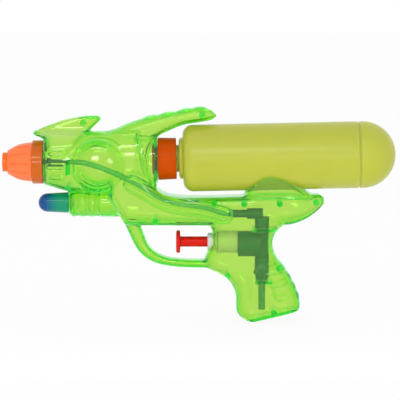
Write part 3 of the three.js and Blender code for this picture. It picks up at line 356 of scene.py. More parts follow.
# Materials
def add_node(tree, kind, inputs=None, **settings):
    """A node with its settings; an input is a value or another node's output."""
    node = tree.nodes.new(kind)
    for key, value in settings.items():
        setattr(node, key, value)
    for key, value in (inputs or {}).items():
        if isinstance(value, bpy.types.NodeSocket):
            tree.links.new(value, node.inputs[key])
        else:
            node.inputs[key].default_value = value
    return node


def new_material(name):
    material = bpy.data.materials.new(name)
    material.use_nodes = True
    tree = material.node_tree
    tree.nodes.clear()
    return material, tree


def moulded_surface(tree, grain_mm, depth_mm, low, high):
    """Place, roughness and bump of a moulded skin: faint flow marks of the given size in millimetres."""
    place = add_node(tree, "ShaderNodeTexCoord").outputs["Object"]
    flow = add_node(tree, "ShaderNodeTexNoise",
                    {"Vector": place, "Scale": 1 / (grain_mm * MM), "Detail": 3.0, "Roughness": 0.5})
    rough = add_node(tree, "ShaderNodeMapRange",
                     {"Value": flow.outputs["Fac"], "To Min": low, "To Max": high})
    bump = add_node(tree, "ShaderNodeBump",
                    {"Height": flow.outputs["Fac"], "Strength": 0.35, "Distance": depth_mm * MM})
    return place, rough.outputs["Result"], bump.outputs["Normal"]


def clear_plastic(name, tint, depth_mm, skin, glow, haze=0.05, ior=1.2, grain_mm=9.0):
    """Tinted clear plastic: white light comes out in the tint after depth_mm of it."""
    material, tree = new_material(name)
    rough, normal = moulded_surface(tree, grain_mm, 0.08, haze * 0.7, haze * 1.3)[1:]
    shader = add_node(tree, "ShaderNodeBsdfPrincipled", {
        "Base Color": skin, "Roughness": rough, "Normal": normal, "IOR": ior, "Transmission Weight": 1.0,
        "Coat Weight": 1.0, "Coat IOR": 1.45, "Coat Roughness": 0.06,
        "Sheen Weight": 0.7, "Sheen Roughness": 0.4, "Sheen Tint": glow})
    fade = [-math.log(max(c, DARKEST)) / (depth_mm * MM) for c in tint[:3]]
    most = max(fade) * 1.02
    inside = add_node(tree, "ShaderNodeVolumeAbsorption",
                      {"Color": (*(1 - f / most for f in fade), 1.0), "Density": most})
    add_node(tree, "ShaderNodeOutputMaterial",
             {"Surface": shader.outputs["BSDF"], "Volume": inside.outputs["Volume"]})
    return material


def cloudy_plastic(name, colour, deep, rough, soft_mm, clear=0.0, gloss=0.25, grain_mm=6.0, under=0.35):
    """Cloudy or solid moulded plastic: two close shades in slow clouds, some light passing under the skin."""
    material, tree = new_material(name)
    place, roughness, normal = moulded_surface(tree, grain_mm, 0.05, rough * 0.85, rough * 1.2)
    clouds = add_node(tree, "ShaderNodeTexNoise",
                      {"Vector": place, "Scale": 1 / (CLOUD_MM * MM), "Detail": 2.0, "Roughness": 0.5})
    shade = add_node(tree, "ShaderNodeMix", {"Factor": clouds.outputs["Fac"], "A": colour, "B": deep},
                     data_type="RGBA")
    shader = add_node(tree, "ShaderNodeBsdfPrincipled", {
        "Base Color": shade.outputs["Result"], "Roughness": roughness, "Normal": normal, "IOR": 1.5,
        "Specular IOR Level": gloss, "Transmission Weight": clear,
        "Subsurface Weight": under if soft_mm else 0.0, "Subsurface Radius": (1.0, 1.0, 1.0),
        "Subsurface Scale": max(soft_mm, 0.1) * MM})
    add_node(tree, "ShaderNodeOutputMaterial", {"Surface": shader.outputs["BSDF"]})
    return material


# Forms of the body, in millimetres, with the same outlines as the CAD shells
def steady(value):
    return lambda x: np.full_like(np.asarray(x, float), value)


def bottle_axis_z(x):
    return BOTTLE_SEAT[2] + (x - BOTTLE_SEAT[0]) * math.tan(BOTTLE_TILT)


def bottle_top(x):
    return bottle_axis_z(x) + BOTTLE_R


def rail_z(x):
    return bottle_axis_z(x) - BOTTLE_R - 3.6


BOTTLE_PLACE = Matrix.Translation(Vector(BOTTLE_SEAT) * MM) @ Matrix.Rotation(-BOTTLE_TILT, 4, "Y")

CHAMBER = {
    "from": BARREL_FACE_X, "to": -90,
    "top": through([(-158.8, 75), (-136.5, 79.9), (-116.8, 81.3), (-90, 81.3)]),
    "bottom": through([(-158.8, 42), (-140.2, 37.2), (-118.3, 35), (-90, 35)]),
    "half": through([(-158.8, 16.5), (-136, 17.4), (-90, 17.4)]),
    "square": through([(-158.8, 2), (-125, 2.6), (-90, 3)]),
}
RECEIVER = {
    "from": -111, "to": 45,
    "top": through([(-111, 54), (-92, 63), (-84, 48.2), (-77.4, 40.2), (-67, rail_z(-67) + 1.6),
                    (-52, rail_z(-52)), (40.5, rail_z(40.5)), (45, rail_z(45) - 2.5)]),
    "bottom": through([(-111, 33.5), (-104.4, 21), (-99, 13.3), (-90, 12.9), (7, 12.9), (19, 13.4),
                       (30, 16.6), (39.4, 22.5), (45, 28)]),
    "half": through([(-111, 17), (-60, 16), (12, 15.5), (32, 12.5), (45, 4.5)]),
    "square": steady(5),
}
NECK = {
    "from": -104, "to": BOTTLE_SEAT[0] - 1,
    "top": through([(-104, 79), (-76, 77.5)]),
    "bottom": steady(38),
    "half": through([(-104, 16.8), (-90, 16.4), (-76, 12.6)]),
    "square": steady(3.5),
}
SCALLOP_PITCH = 12.4
SCALLOP_DEPTH = 0.9
arm_top = through([(-118, 80.6), (-109.5, 82.2), (-96.4, 87.6), (-82, 91.8), (-63.5, bottle_top(-63.5) + 10),
                   (-46, bottle_top(-46) + 12.6), (-39.4, bottle_top(-39.4) + 11.6),
                   (-35.4, bottle_top(-35.4) + 9.3), (-33.4, bottle_top(-33.4) + 6.6)])


def scallop(x):
    wave = SCALLOP_DEPTH * np.abs(np.sin(math.pi * (x + 88) / SCALLOP_PITCH))
    return np.where((x > -88) & (x < -40), wave, 0.0)


ARM = {
    "from": -118, "to": -33.4, "top": arm_top,
    "bottom": through([(-118, 72), (-84, 72), (-76.5, 76.8), (-73.5, 78.8), (-67, 81.8),
                       (-56, bottle_top(-56) + 0.5), (-45, bottle_top(-45) + 2),
                       (-36.5, bottle_top(-36.5) + 3.6), (-33.4, bottle_top(-33.4) + 5.8)]),
    "half": through([(-118, 9), (-96, 11), (-82, 10), (-64, 8.5), (-46, 7.6), (-37, 5.4), (-33.4, 1.6)]),
    "square": steady(2.6),
}
HOOD = {
    "from": 58, "to": 92.4,
    "front": through([(58, -158.3), (75.4, -158.3), (77, -159.8), (78.7, -165), (80.4, -166.4), (83, -161.5),
                      (86.5, -152.6), (90.2, -140.9), (92.4, -128)]),
    "back": through([(58, -141.5), (63.7, -139), (74.7, -132), (80.2, -127), (86.5, -120.5), (90.2, -117.2),
                     (92.4, -118.6)]),
    "half": through([(58, 16.4), (66.5, 16.4), (69, 18), (74.7, 16), (77.5, 13.4), (80.2, 8.8),
                     (83, 5.8), (86.5, 5.7), (92.4, 5.6)]),
    "square": through([(58, 8), (80, 8), (92.4, 4)]),
}
GUARD_LINE = [(-96.5, 18), (-91.4, 5.6), (-86, -5), (-77, -11.8), (-63.5, -15.1), (-42.3, -16), (-32, -16.4)]
guard_width = through([(0, 11), (0.16, 10), (0.36, 8), (0.6, 6), (1, 6)])
GUARD_HALF = 7.6
WAIST_X = TURRET_R + FIT + WALL + 0.2
GRIP_RIB_PITCH = 7.0
GRIP_RIB_DEPTH = 0.8
grip_back = through([(-62, 14), (-53, 24.5), (-50.3, 27), (-46.5, 28), (-42, 27.4), (-35, 25.2),
                     (-26.8, 21.4), (-18.7, 16.4), (-12, 11.6), (-6, WAIST_X + 0.9), (-1, WAIST_X),
                     (5, WAIST_X + 1.1), (10, 12.4), (18, 24)])


def grip_rib(z):
    wave = GRIP_RIB_DEPTH * np.abs(np.sin(math.pi * (z + 42) / GRIP_RIB_PITCH))
    return np.where((z > -42) & (z < -14), wave, 0.0)


GRIP = {
    "from": -62, "to": 18, "back": grip_back,
    "front": through([(-62, -2), (-59.5, -6), (-57.7, -11.5), (-54, -16.7), (-49.6, -18.9), (-40, -19.1),
                      (-32.7, -21.2), (-26.8, -25.6), (-21.6, -34), (-18.3, -40.5), (-13, -42), (-6.2, -39.6),
                      (0, -36.6), (8.5, -36.6), (14, -40), (18, -44)]),
    "half": through([(-62, 11), (-40, 12.2), (-12, 13), (0, 14), (18, 15)]),
    "square": steady(4),
}
CUP = {
    "from": 22, "to": 49.6,
    "front": through([(22, -14), (34, -13.4), (39, -12), (44, -8.6), (47.6, -4.4), (49.6, 1.2)]),
    "back": through([(22, 37), (34, 36.6), (38.3, 31.5), (44.4, 22.5), (47.6, 16.5), (49.6, 11)]),
    "half": through([(22, 14), (33, 16), (38, 18.4), (44, 21), (49.6, 23.6)]),
    "square": steady(4),
}
CRADLE_GAP = 0.7
# The front wall's share of a full wall, and how far the hollow opens into the bottle's bed
THIN_FRONT = 0.6
OPEN_BED = 0.8
BOSS_R = 17.6
DOME_X, DOME_Z = -119.1, 57.2
DOME_RING_R = 19.0
DOME_RIM_Y = 16.9
DOME_RISE = 3.7
TORCH_R = 10.5
TORCH_RIB_PITCH = 7.0
TORCH_RIB_DEPTH = 0.8
TORCH_GROOVES = [TORCH_FACE_X + 3.1 + (k + 0.5) * TORCH_RIB_PITCH for k in range(3)]
TORCH_TOP_Z = 38.5
PINS = [(-130, 87.4), (-141, 40.5), (-77.6, 16.6), (-35, 29.3), (-13.4, 29.3), (12.4, 29.3), (39, 29.6),
        (-43.8, 93.4), (12.4, -19.1), (-25, -24.3), (8.7, -51.5)]
PIN_R = 1.3
PIN_BOSS_R = 2.3
PIN_LENGTH = 3.0
ELBOW_Z = 20.6
HOSE_LINE = [(-141.3, 58.5), (-134.6, 58.5), (-125.6, 56.8), (-114.6, 53.1), (-104, 48.5), (-90, 41.8),
             (-77, 34.2), (-63, 28.7), (-48, 26.4), (-36, 23.6), (-25.5, 20.6), (-20.5, 20.6), (-14.5, 20.6)]


def torch_profile(inset):
    start = TORCH_FACE_X + 3.1
    x = np.linspace(start, start + 3 * TORCH_RIB_PITCH, 43)
    wave = TORCH_RIB_DEPTH * np.sin(math.pi * (x - start) / TORCH_RIB_PITCH) ** 2
    ribs = [(start + inset, TORCH_R - TORCH_RIB_DEPTH)] if inset else list(zip(x, TORCH_R - wave))
    back = TORCH_FACE_X + 40 - inset
    profile = [(TORCH_FACE_X + inset, 8.0), *ribs, (back, ribs[-1][1])]
    return [(profile[0][0], 0), *((a, r - inset) for a, r in profile), (back, 0)]


def dome_profile(inset):
    lens_r = DOME_RING_R - 2.6 - inset
    rim = DOME_RIM_Y - inset
    angle = np.linspace(0, math.pi / 2, 14)
    side = list(zip(rim + DOME_RISE * np.cos(angle), lens_r * np.sin(angle)))
    if not inset:
        side += [(rim, lens_r + 0.6), (rim + 1, lens_r + 1), (rim + 1, DOME_RING_R - 0.4), (rim, DOME_RING_R)]
    return side + [(-y, r) for y, r in reversed(side)]


def merged(meshes):
    work = bmesh.new()
    for mesh in meshes:
        work.from_mesh(mesh)
    result = bpy.data.meshes.new("Merged")
    work.to_mesh(result)
    work.free()
    return result


def body_mesh(inset, voxel, rounds):
    """The whole body, filled and with its joins rounded; with an inset it is the hollow inside it."""
    arm, grip, chamber = dict(ARM), dict(GRIP), dict(CHAMBER)
    chamber["from"] -= inset * (1 - THIN_FRONT)
    if not inset:
        arm["top"] = lambda x: arm_top(x) + scallop(x)
        grip["back"] = lambda z: grip_back(z) + grip_rib(z)
    grip_rings = loft(grip, inset, 200)
    butt = BUTT_Z + (grip_rings[..., 0] - BUTT_X) * math.tan(BUTT_TILT) + inset / math.cos(BUTT_TILT)
    grip_rings[..., 2] = np.maximum(grip_rings[..., 2], butt)
    line = spline(GUARD_LINE, 80)
    guard_half_width = np.maximum(guard_width(np.linspace(0, 1, 80)) / 2 - inset, THINNEST)
    guard = sweep(line, guard_half_width, GUARD_HALF - inset, 40, 3)
    boss_r = BOSS_R - inset
    boss = [(-15 + inset, 0), (-15 + inset, boss_r - 4), (-11 + inset, boss_r), (-inset, boss_r), (-inset, 0)]
    bed_r = BOTTLE_R + CRADLE_GAP - (OPEN_BED if inset else 0)
    bed_end = BOTTLE_END_X + BOTTLE_R
    bed = mesh_of("Bed", [turned([(0, 0), (0, bed_r), (bed_end, bed_r), (bed_end, 0)], 128)], BOTTLE_PLACE)
    cup = combined(mesh_of("Cup", [loft(CUP, inset, 110)]), "DIFFERENCE", bed)
    meshes = [mesh_of("Form", [rings]) for rings in (
        loft(chamber, inset), loft(RECEIVER, inset, 160), loft(NECK, inset), loft(arm, inset, 240),
        loft(HOOD, inset, 110), guard, grip_rings,
        turned(torch_profile(inset), 64, "x", (0, 0, TORCH_Z)),
        turned(dome_profile(inset), 96, "y", (DOME_X, 0, DOME_Z)))]
    meshes += [cup, mesh_of("Boss", [turned(boss, 96)], BOTTLE_PLACE)]
    return evaluated(merged(meshes), ("REMESH", {"mode": "VOXEL", "voxel_size": voxel * MM}),
                     ("SMOOTH", {"factor": 0.5, "iterations": rounds}))


def from_line(place, line):
    """Distance in the X-Z plane from each place to a line of points."""
    nearest = np.full(len(place), 1e9)
    for a, b in zip(line, line[1:]):
        step = b - a
        t = np.clip(((place - a) @ step) / (step @ step), 0, 1)
        nearest = np.minimum(nearest, np.linalg.norm(place - a - t[:, None] * step, axis=1))
    return nearest


def ridge(distance, at, wide, high):
    """Height of a rounded ridge at a distance."""
    return high * np.clip(1 - ((distance - at) / wide) ** 2, 0, 1) ** 1.5


RAIL_AT = 5.2
RAIL_FROM_X = -96.0
RAIL_TO_X = -26.0
# Small moulded loops on the barrel's sides: middle x and z, half length, half height
BARREL_LOOPS = [(-149.3, 56.8, 4.8, 1.5), (-148.2, 66.2, 4.6, 2.0), (-149.3, 48.0, 3.6, 1.6)]
LOOP_HEIGHT = 0.65
# Moulded creases on both sides: half width, height and [x, z] points
CREASES = [
    (0.9, 0.8, [(-104.4, 81), (-90.5, 81.7), (-89, 69), (-86, 54), (-84, 48.5)]),
    (0.9, 0.8, [(-77.4, 78), (-82.5, 70.6), (-84.7, 61.8), (-84.3, 52.3), (-78.1, 41.3)]),
    (1.0, 0.9, [(-22, 33.2), (36, 33.6)]),
    (1.2, 0.5, [(-12, 35), (-10.6, 39), (-7.2, 43.4), (-3.4, 46.4), (1.4, 48), (10.8, 48), (15.5, 46.2),
                (21.4, 43), (30, 37.2)]),
    (1.1, 0.7, [(-4.9, -20.8), (0.9, -16.4), (10.7, -15.5)]),
    (1.1, 0.7, [(2.9, -23.3), (8.8, -22.3), (15.1, -20.4)]),
    (1.1, 0.7, [(6.3, -31.9), (12.7, -31.7), (18.5, -28.8)]),
    (1.1, 0.7, [(8.8, -36.6), (10.2, -41.1), (13.7, -42), (18, -40.5)]),
    (0.9, 0.3, [(-18.6, -22.8), (-11, -26.5), (-8.8, -30), (-8.8, -44.5)]),
]
INNER_RIB = 1.5


def on_sides(normal):
    """1 on the flat sides of the body, 0 on its top and bottom."""
    return np.clip((np.abs(normal[:, 1]) - 0.35) / 0.3, 0, 1)


def marks(flat, rail_wide, rail_high, loop_wide, crease_wider, crease_times):
    """Height of the rails along the hose, the barrel's loops and the creases."""
    rails = spline(HOSE_LINE, 60)[:, [0, 2]]
    rails = rails[(rails[:, 0] > RAIL_FROM_X) & (rails[:, 0] < RAIL_TO_X)]
    high = ridge(from_line(flat, rails), RAIL_AT, rail_wide, rail_high)
    for x, z, half, radius in BARREL_LOOPS:
        line = np.array([(x - half, z), (x + half, z)])
        high = np.maximum(high, ridge(from_line(flat, line), radius, loop_wide, LOOP_HEIGHT))
    for wide, height, points in CREASES:
        away = from_line(flat, np.array(points))
        high = np.maximum(high, ridge(away, 0, wide + crease_wider, height * crease_times))
    return high


def ribbed(place, normal):
    """Ribs inside the wall, behind the outside marks, where the plastic is thick and its colour deep."""
    flat = place[:, [0, 2]]
    high = marks(flat, 1.6, INNER_RIB, 1.2, 0.3, INNER_RIB)
    for groove in TORCH_GROOVES:
        high = np.where(flat[:, 1] < TORCH_TOP_Z, np.maximum(high, ridge(flat[:, 0], groove, 2.4, 2.0)), high)
    return -normal * (high * on_sides(normal))[:, None]


def embossed(place, normal):
    """Raised marks on both sides of the body, the ring around its dome and the grooves of its ribbed tube."""
    flat = place[:, [0, 2]]
    high = marks(flat, 1.2, 1.2, 0.9, 0.0, 1.0)
    ring = np.hypot(flat[:, 0] - DOME_X, flat[:, 1] - DOME_Z)
    high = np.maximum(high, ridge(ring, DOME_RING_R - 1.1, 1.3, 0.8))
    for groove in TORCH_GROOVES:
        high = np.where(flat[:, 1] < TORCH_TOP_Z, high - ridge(flat[:, 0], groove, 1.6, 0.8), high)
    return normal * (high * on_sides(normal))[:, None]


def rod(r, low, high, axis, centre=(0, 0, 0), segments=48):
    """A plain round bar between two places along an axis."""
    return mesh_of("Rod", [turned([(low, 0), (low, r), (high, r), (high, 0)], segments, axis, centre)])


def hollow(profile, corner, segments, axis="x", centre=(0, 0, 0), matrix=None):
    """A closed profile with rounded corners, turned into a ring."""
    return mesh_of("Ring", [turned(closed(profile, corner)[:-1], segments, axis, centre)], matrix, loop=True)


def pipe(r, bore, low, high, axis, centre=(0, 0, 0), segments=64, corner=0.4):
    """A pipe with rounded ends."""
    return hollow([(low, bore), (low, r), (high, r), (high, bore)], corner, segments, axis, centre)


# Past both sides of the body, and past the whole pistol
ACROSS = 60
FAR = 300
SEAM = 0.03


def shelves():
    """Shelves around the pump, a rib around the jet stem, the cup's ledge and the bosses of the pins."""
    upper = combined(box_mesh((-7.3, -ACROSS, 8.4), (11, ACROSS, 10.6)), "DIFFERENCE", rod(5.5, 0, 20, "z"))
    lower = combined(box_mesh((-5, -ACROSS, -30.1), (7.5, ACROSS, -27.9)), "DIFFERENCE",
                     rod(4.7, -40, -20, "z"))
    stem = combined(box_mesh((-142.4, -ACROSS, 50.5), (-138.8, ACROSS, 61.7)), "DIFFERENCE",
                    rod(2.3, -150, -130, "x", (0, 0, NOZZLE_Z)))
    ledge = combined(box_mesh((-14, -ACROSS, 32.9), (35, ACROSS, 34.6)), "DIFFERENCE",
                     box_mesh((-20, -10, 30), (40, 10, 38)))
    bosses = [rod(PIN_BOSS_R, -ACROSS, ACROSS, "y", (x, 0, z), 32) for x, z in PINS]
    return combined(upper, "UNION", lower, stem, ledge, *bosses)


def shell_meshes(voxel):
    """The left and right half shells."""
    outer = moved_points(body_mesh(0, voxel, 7), embossed)
    cavity = moved_points(body_mesh(WALL, voxel * 1.15, 8), ribbed)
    inside = combined(shelves(), "INTERSECT", body_mesh(WALL / 2, voxel * 2.4, 1))
    spigots = [pipe(13.8, 11.8, -166.2, -157.8, "x", (0, 0, NOZZLE_Z), 96),
               pipe(5.2, 3.2, -151.9, -139.9, "x", (0, 0, TORCH_Z))]
    socket_hole = mesh_of("Hole", [turned([(-3, 0), (-3, 8.8), (1, 8.8), (1, 0)], 96)], BOTTLE_PLACE)
    holes = [rod(2.2, -160, -155.8, "x", (0, 0, NOZZLE_Z)), rod(6.7, -50, -32.4, "x", segments=72),
             rod(8.4, -34, -17.5, "x", segments=72), socket_hole]
    whole = combined(outer, "DIFFERENCE", cavity)
    whole = combined(combined(whole, "UNION", inside, *spigots), "DIFFERENCE", *holes)
    left = combined(whole, "INTERSECT", box_mesh((-FAR, -FAR, -FAR), (FAR, -SEAM, FAR)))
    right = combined(whole, "INTERSECT", box_mesh((-FAR, SEAM, -FAR), (FAR, FAR, FAR)))
    pins = [rod(PIN_R, -1, PIN_LENGTH, "y", (x, 0, z), 24) for x, z in PINS]
    sockets = [rod(PIN_R + FIT, -1, PIN_LENGTH + FIT, "y", (x, 0, z), 24) for x, z in PINS]
    return combined(left, "UNION", *pins), combined(right, "DIFFERENCE", *sockets)


# Settings that a user would change
def colour(name, words, code):
    return FloatVectorProperty(name=name, description=words, subtype="COLOR", size=4, min=0, max=1,
                               default=linear(code))


class PistolColours(bpy.types.PropertyGroup):
    shell: colour("Shell", "White light after 4 mm of the shell's clear plastic", "#b2fd52")
    shell_skin: colour("Shell skin", "What one wall of the shell passes, however thick it is", "#fdf0f8")
    shell_edge: colour("Shell edge", "Glow along the edges of the clear shell", "#86f2ac")
    nozzle: colour("Nozzle", "Pale orange of the nozzle's hollow cone", "#fb7a40")
    nozzle_tip: colour("Nozzle tip", "Orange of the nozzle's tip", "#f86a08")
    nozzle_collar: colour("Nozzle collar", "Deep orange of the nozzle's collar", "#c85f06")
    socket: colour("Socket", "Amber of the bottle's socket", "#ca5000")
    bottle: colour("Bottle", "Cloudy yellow of the bottle", "#c3ca45")
    trigger: colour("Trigger", "Red of the trigger", "#d81c10")
    lamp: colour("Lamp cap", "Blue at the tip of the lamp cap", "#0a54a0")
    lamp_base: colour("Lamp cap base", "Teal at the base of the lamp cap", "#05a276")
    # The pump's dark green is partly the pieces' own colour and partly painted shade: the green light that
    # the clear shell, casting no shadow, does not give them
    pump: colour("Pump", "Green of the valve pieces", "#1f754f")
    hose: colour("Hose", "Green of the hose", "#62c48a")
    barrel: colour("Pump barrel", "Natural white of the barrel and plunger", "#f2f4ea")


class PistolSizes(bpy.types.PropertyGroup):
    shell_grain: FloatProperty(
        name="Shell grain", description="Size of the shells' smallest facets, in millimetres",
        default=0.7, min=0.4, max=2.0)
    flutes: IntProperty(name="Flutes", description="Grooves around the nozzle", default=12, min=6, max=24)


class PISTOL_OT_stage(bpy.types.Operator):
    """Camera at the photograph's angle, pale floor and soft light"""
    bl_idname = "pistol.stage"
    bl_label = "Stage"

    def execute(self, context):
        scene = context.scene
        scene.view_settings.view_transform = "Standard"
        scene.cycles.max_bounces = GLASS_BOUNCES
        scene.cycles.transmission_bounces = GLASS_BOUNCES
        lens = bpy.data.cameras.new("View")
        lens.sensor_width = 36
        lens.lens = 36 * VIEW_DISTANCE / VIEW_WIDTH
        lens.clip_end = 50
        camera = bpy.data.objects.new("View", lens)
        away = Vector((0, -math.cos(VIEW_ELEVATION), math.sin(VIEW_ELEVATION)))
        camera.location = Vector(VIEW_CENTRE) + away * VIEW_DISTANCE
        camera.rotation_euler = (math.pi / 2 - VIEW_ELEVATION, 0, 0)
        scene.collection.objects.link(camera)
        scene.camera = camera
        self.light_world(scene)
        self.lay_floor(scene)
        for name, (place, aim, size, power, mirrored) in LAMPS.items():
            lamp = bpy.data.lights.new(name, "AREA")
            lamp.shape = "RECTANGLE"
            lamp.size, lamp.size_y = size
            lamp.energy = power
            obj = bpy.data.objects.new(name, lamp)
            obj.location = place
            obj.rotation_euler = (Vector(aim) - Vector(place)).to_track_quat("-Z", "Y").to_euler()
            obj.visible_camera = obj.visible_glossy = obj.visible_transmission = mirrored
            scene.collection.objects.link(obj)
        return {"FINISHED"}

    def seen(self, tree):
        """1 for rays from the camera and for mirror and glass rays, 0 for light."""
        path = add_node(tree, "ShaderNodeLightPath").outputs
        first = add_node(tree, "ShaderNodeMath", {0: path["Is Camera Ray"], 1: path["Is Glossy Ray"]},
                         operation="MAXIMUM")
        return add_node(tree, "ShaderNodeMath", {0: first.outputs[0], 1: path["Is Transmission Ray"]},
                        operation="MAXIMUM").outputs[0]

    def light_world(self, scene):
        world = bpy.data.worlds.new("White room")
        world.use_nodes = True
        scene.world = world
        tree = world.node_tree
        tree.nodes.clear()
        light = add_node(tree, "ShaderNodeBackground", {"Color": (1, 1, 1, 1), "Strength": WORLD_LIGHT})
        white = add_node(tree, "ShaderNodeBackground", {"Color": (1, 1, 1, 1), "Strength": 1.0})
        mix = add_node(tree, "ShaderNodeMixShader",
                       {"Fac": self.seen(tree), 1: light.outputs[0], 2: white.outputs[0]})
        add_node(tree, "ShaderNodeOutputWorld", {"Surface": mix.outputs[0]})

    def lay_floor(self, scene):
        floor = bpy.data.meshes.new("Floor")
        level = CAD_BOX[0][2] - FLOOR_GAP
        square = ((-1, -1), (1, -1), (1, 1), (-1, 1))
        floor.from_pydata([(x * FLOOR_REACH, y * FLOOR_REACH, level) for x, y in square], [], [(0, 1, 2, 3)])
        obj = bpy.data.objects.new("Floor", floor)
        scene.collection.objects.link(obj)
        material, tree = new_material("white_floor")
        shader = add_node(tree, "ShaderNodeBsdfPrincipled",
                          {"Base Color": FLOOR_WHITE, "Roughness": 0.9, "Specular IOR Level": 0.0})
        white = add_node(tree, "ShaderNodeEmission", {"Color": (1, 1, 1, 1), "Strength": 1.0})
        part = add_node(tree, "ShaderNodeMath", {0: self.seen(tree), 1: FLOOR_SEEN_WHITE},
                        operation="MULTIPLY")
        mix = add_node(tree, "ShaderNodeMixShader",
                       {"Fac": part.outputs[0], 1: shader.outputs[0], 2: white.outputs[0]})
        add_node(tree, "ShaderNodeOutputMaterial", {"Surface": mix.outputs[0]})
        floor.materials.append(material)


class PISTOL_OT_shells(bpy.types.Operator):
    """Clear half shells with their pins, shelves and raised rails"""
    bl_idname = "pistol.shells"
    bl_label = "Half shells"

    def execute(self, context):
        scene = context.scene
        colours = scene.pistol_colours
        # Clear injection-moulded styrene: glossy, with deep colour where light runs along the wall
        styrene = clear_plastic("clear_green_styrene", colours.shell, 2 * WALL, colours.shell_skin,
                                colours.shell_edge)
        left, right = shell_meshes(scene.pistol_sizes.shell_grain)
        for name, mesh, node in (("left_half", left, "left_shell"), ("right_half", right, "right_shell")):
            half = show(name, mesh, styrene, "gun", node)
            half.visible_shadow = False
        return {"FINISHED"}


def ring_of_copies(mesh, copies, material):
    """Copies of a mesh around the X axis, made by geometry nodes."""
    tree = bpy.data.node_groups.new("Ring of copies", "GeometryNodeTree")
    tree.interface.new_socket("Geometry", in_out="INPUT", socket_type="NodeSocketGeometry")
    counter = tree.interface.new_socket("Copies", in_out="INPUT", socket_type="NodeSocketInt")
    finish = tree.interface.new_socket("Finish", in_out="INPUT", socket_type="NodeSocketMaterial")
    tree.interface.new_socket("Geometry", in_out="OUTPUT", socket_type="NodeSocketGeometry")
    given = add_node(tree, "NodeGroupInput").outputs
    points = add_node(tree, "GeometryNodePoints", {"Count": given["Copies"]})
    step = add_node(tree, "ShaderNodeMath", {0: 2 * math.pi, 1: given["Copies"]}, operation="DIVIDE")
    index = add_node(tree, "GeometryNodeInputIndex")
    angle = add_node(tree, "ShaderNodeMath", {0: index.outputs[0], 1: step.outputs[0]}, operation="MULTIPLY")
    turn = add_node(tree, "ShaderNodeCombineXYZ", {"X": angle.outputs[0]})
    copy = add_node(tree, "GeometryNodeInstanceOnPoints",
                    {"Points": points.outputs[0], "Instance": given["Geometry"], "Rotation": turn.outputs[0]})
    real = add_node(tree, "GeometryNodeRealizeInstances", {"Geometry": copy.outputs[0]})
    dressed = add_node(tree, "GeometryNodeSetMaterial",
                       {"Geometry": real.outputs[0], "Material": given["Finish"]})
    add_node(tree, "NodeGroupOutput", {"Geometry": dressed.outputs[0]})
    return evaluated(mesh, ("NODES", {"node_group": tree, counter.identifier: copies,
                                      finish.identifier: material}))


# The nozzle, forward of the barrel's face
COLLAR_R = 15.9
CONE_FROM = 8.4
CONE_MIDDLE = 17.35
CONE_TO = 26.3
TIP_R = 7.0
TIP_TO = 30
JET_R = 3.4
FLUTE_FROM = 9.6
FLUTE_TO = 25.2
FLUTE_HALF = 0.85
FLUTE_LIFT = 0.35


class PISTOL_OT_nozzle(bpy.types.Operator):
    """Fluted nozzle with its collar and blunt tip"""
    bl_idname = "pistol.nozzle"
    bl_label = "Nozzle"

    def execute(self, context):
        scene = context.scene
        # Moulded polyethylene: satin, with light that spreads under the skin
        orange = self.band_material(scene.pistol_colours)
        cone_r = through([(CONE_FROM, 14.5), (CONE_MIDDLE, 13.1), (CONE_TO, 8.8)])
        forward = np.linspace(CONE_FROM, CONE_TO, 24)
        outside = [(FIT, 14.1), (FIT, COLLAR_R), (8.2, COLLAR_R), *zip(forward, cone_r(forward)),
                   (CONE_TO, TIP_R), (TIP_TO, TIP_R), (TIP_TO, JET_R)]
        inside = [(24.5, JET_R), (24.5, 6.3), (CONE_MIDDLE, 10.6), (CONE_FROM, 12), (CONE_FROM, 14.1)]
        profile = [(BARREL_FACE_X - f, r) for f, r in closed(outside + inside, 0.5)[:-1]]
        mesh = mesh_of("Nozzle", [turned(profile, 144)], loop=True)
        run = np.linspace(FLUTE_FROM, FLUTE_TO, 30)
        line = np.stack([BARREL_FACE_X - run, np.zeros(30), cone_r(run) + FLUTE_LIFT], axis=1)
        width = np.minimum(1, (FIT + np.minimum(run - FLUTE_FROM, FLUTE_TO - run)) / 2)
        cutter = mesh_of("Flute", [sweep(line, width, FLUTE_HALF, 16)])
        flutes = ring_of_copies(cutter, scene.pistol_sizes.flutes, orange)
        mesh = combined(mesh, "DIFFERENCE", flutes)
        mesh.transform(Matrix.Translation((0, 0, NOZZLE_Z * MM)))
        show("fluted_nozzle", mesh, orange, "gun", "nozzle")
        return {"FINISHED"}

    def band_material(self, colours):
        """Deep orange on the thick tip and collar, paler on the hollow cone."""
        material, tree = new_material("orange_polyethylene")
        place, rough, normal = moulded_surface(tree, 6.0, 0.05, 0.16, 0.24)
        along = add_node(tree, "ShaderNodeSeparateXYZ", {"Vector": place}).outputs["X"]
        tip = add_node(tree, "ShaderNodeMapRange", {"Value": along, "From Min": -0.1856, "From Max": -0.1836})
        collar = add_node(tree, "ShaderNodeMapRange",
                          {"Value": along, "From Min": -0.1674, "From Max": -0.167})
        front = add_node(tree, "ShaderNodeMix",
                         {"Factor": tip.outputs["Result"], "A": colours.nozzle_tip, "B": colours.nozzle},
                         data_type="RGBA")
        shade = add_node(tree, "ShaderNodeMix",
                         {"Factor": collar.outputs["Result"], "A": front.outputs["Result"],
                          "B": colours.nozzle_collar}, data_type="RGBA")
        shader = add_node(tree, "ShaderNodeBsdfPrincipled", {
            "Base Color": shade.outputs["Result"], "Roughness": rough, "Normal": normal, "IOR": 1.5,
            "Specular IOR Level": 0.1, "Coat Weight": 0.4, "Coat Roughness": 0.1, "Subsurface Weight": 0.3,
            "Subsurface Radius": (1.0, 1.0, 1.0), "Subsurface Scale": 1.2 * MM})
        add_node(tree, "ShaderNodeOutputMaterial", {"Surface": shader.outputs["BSDF"]})
        return material


LAMP_LENGTH = 22.0
LAMP_R = 6.8
LAMP_BORE_R = 5.5


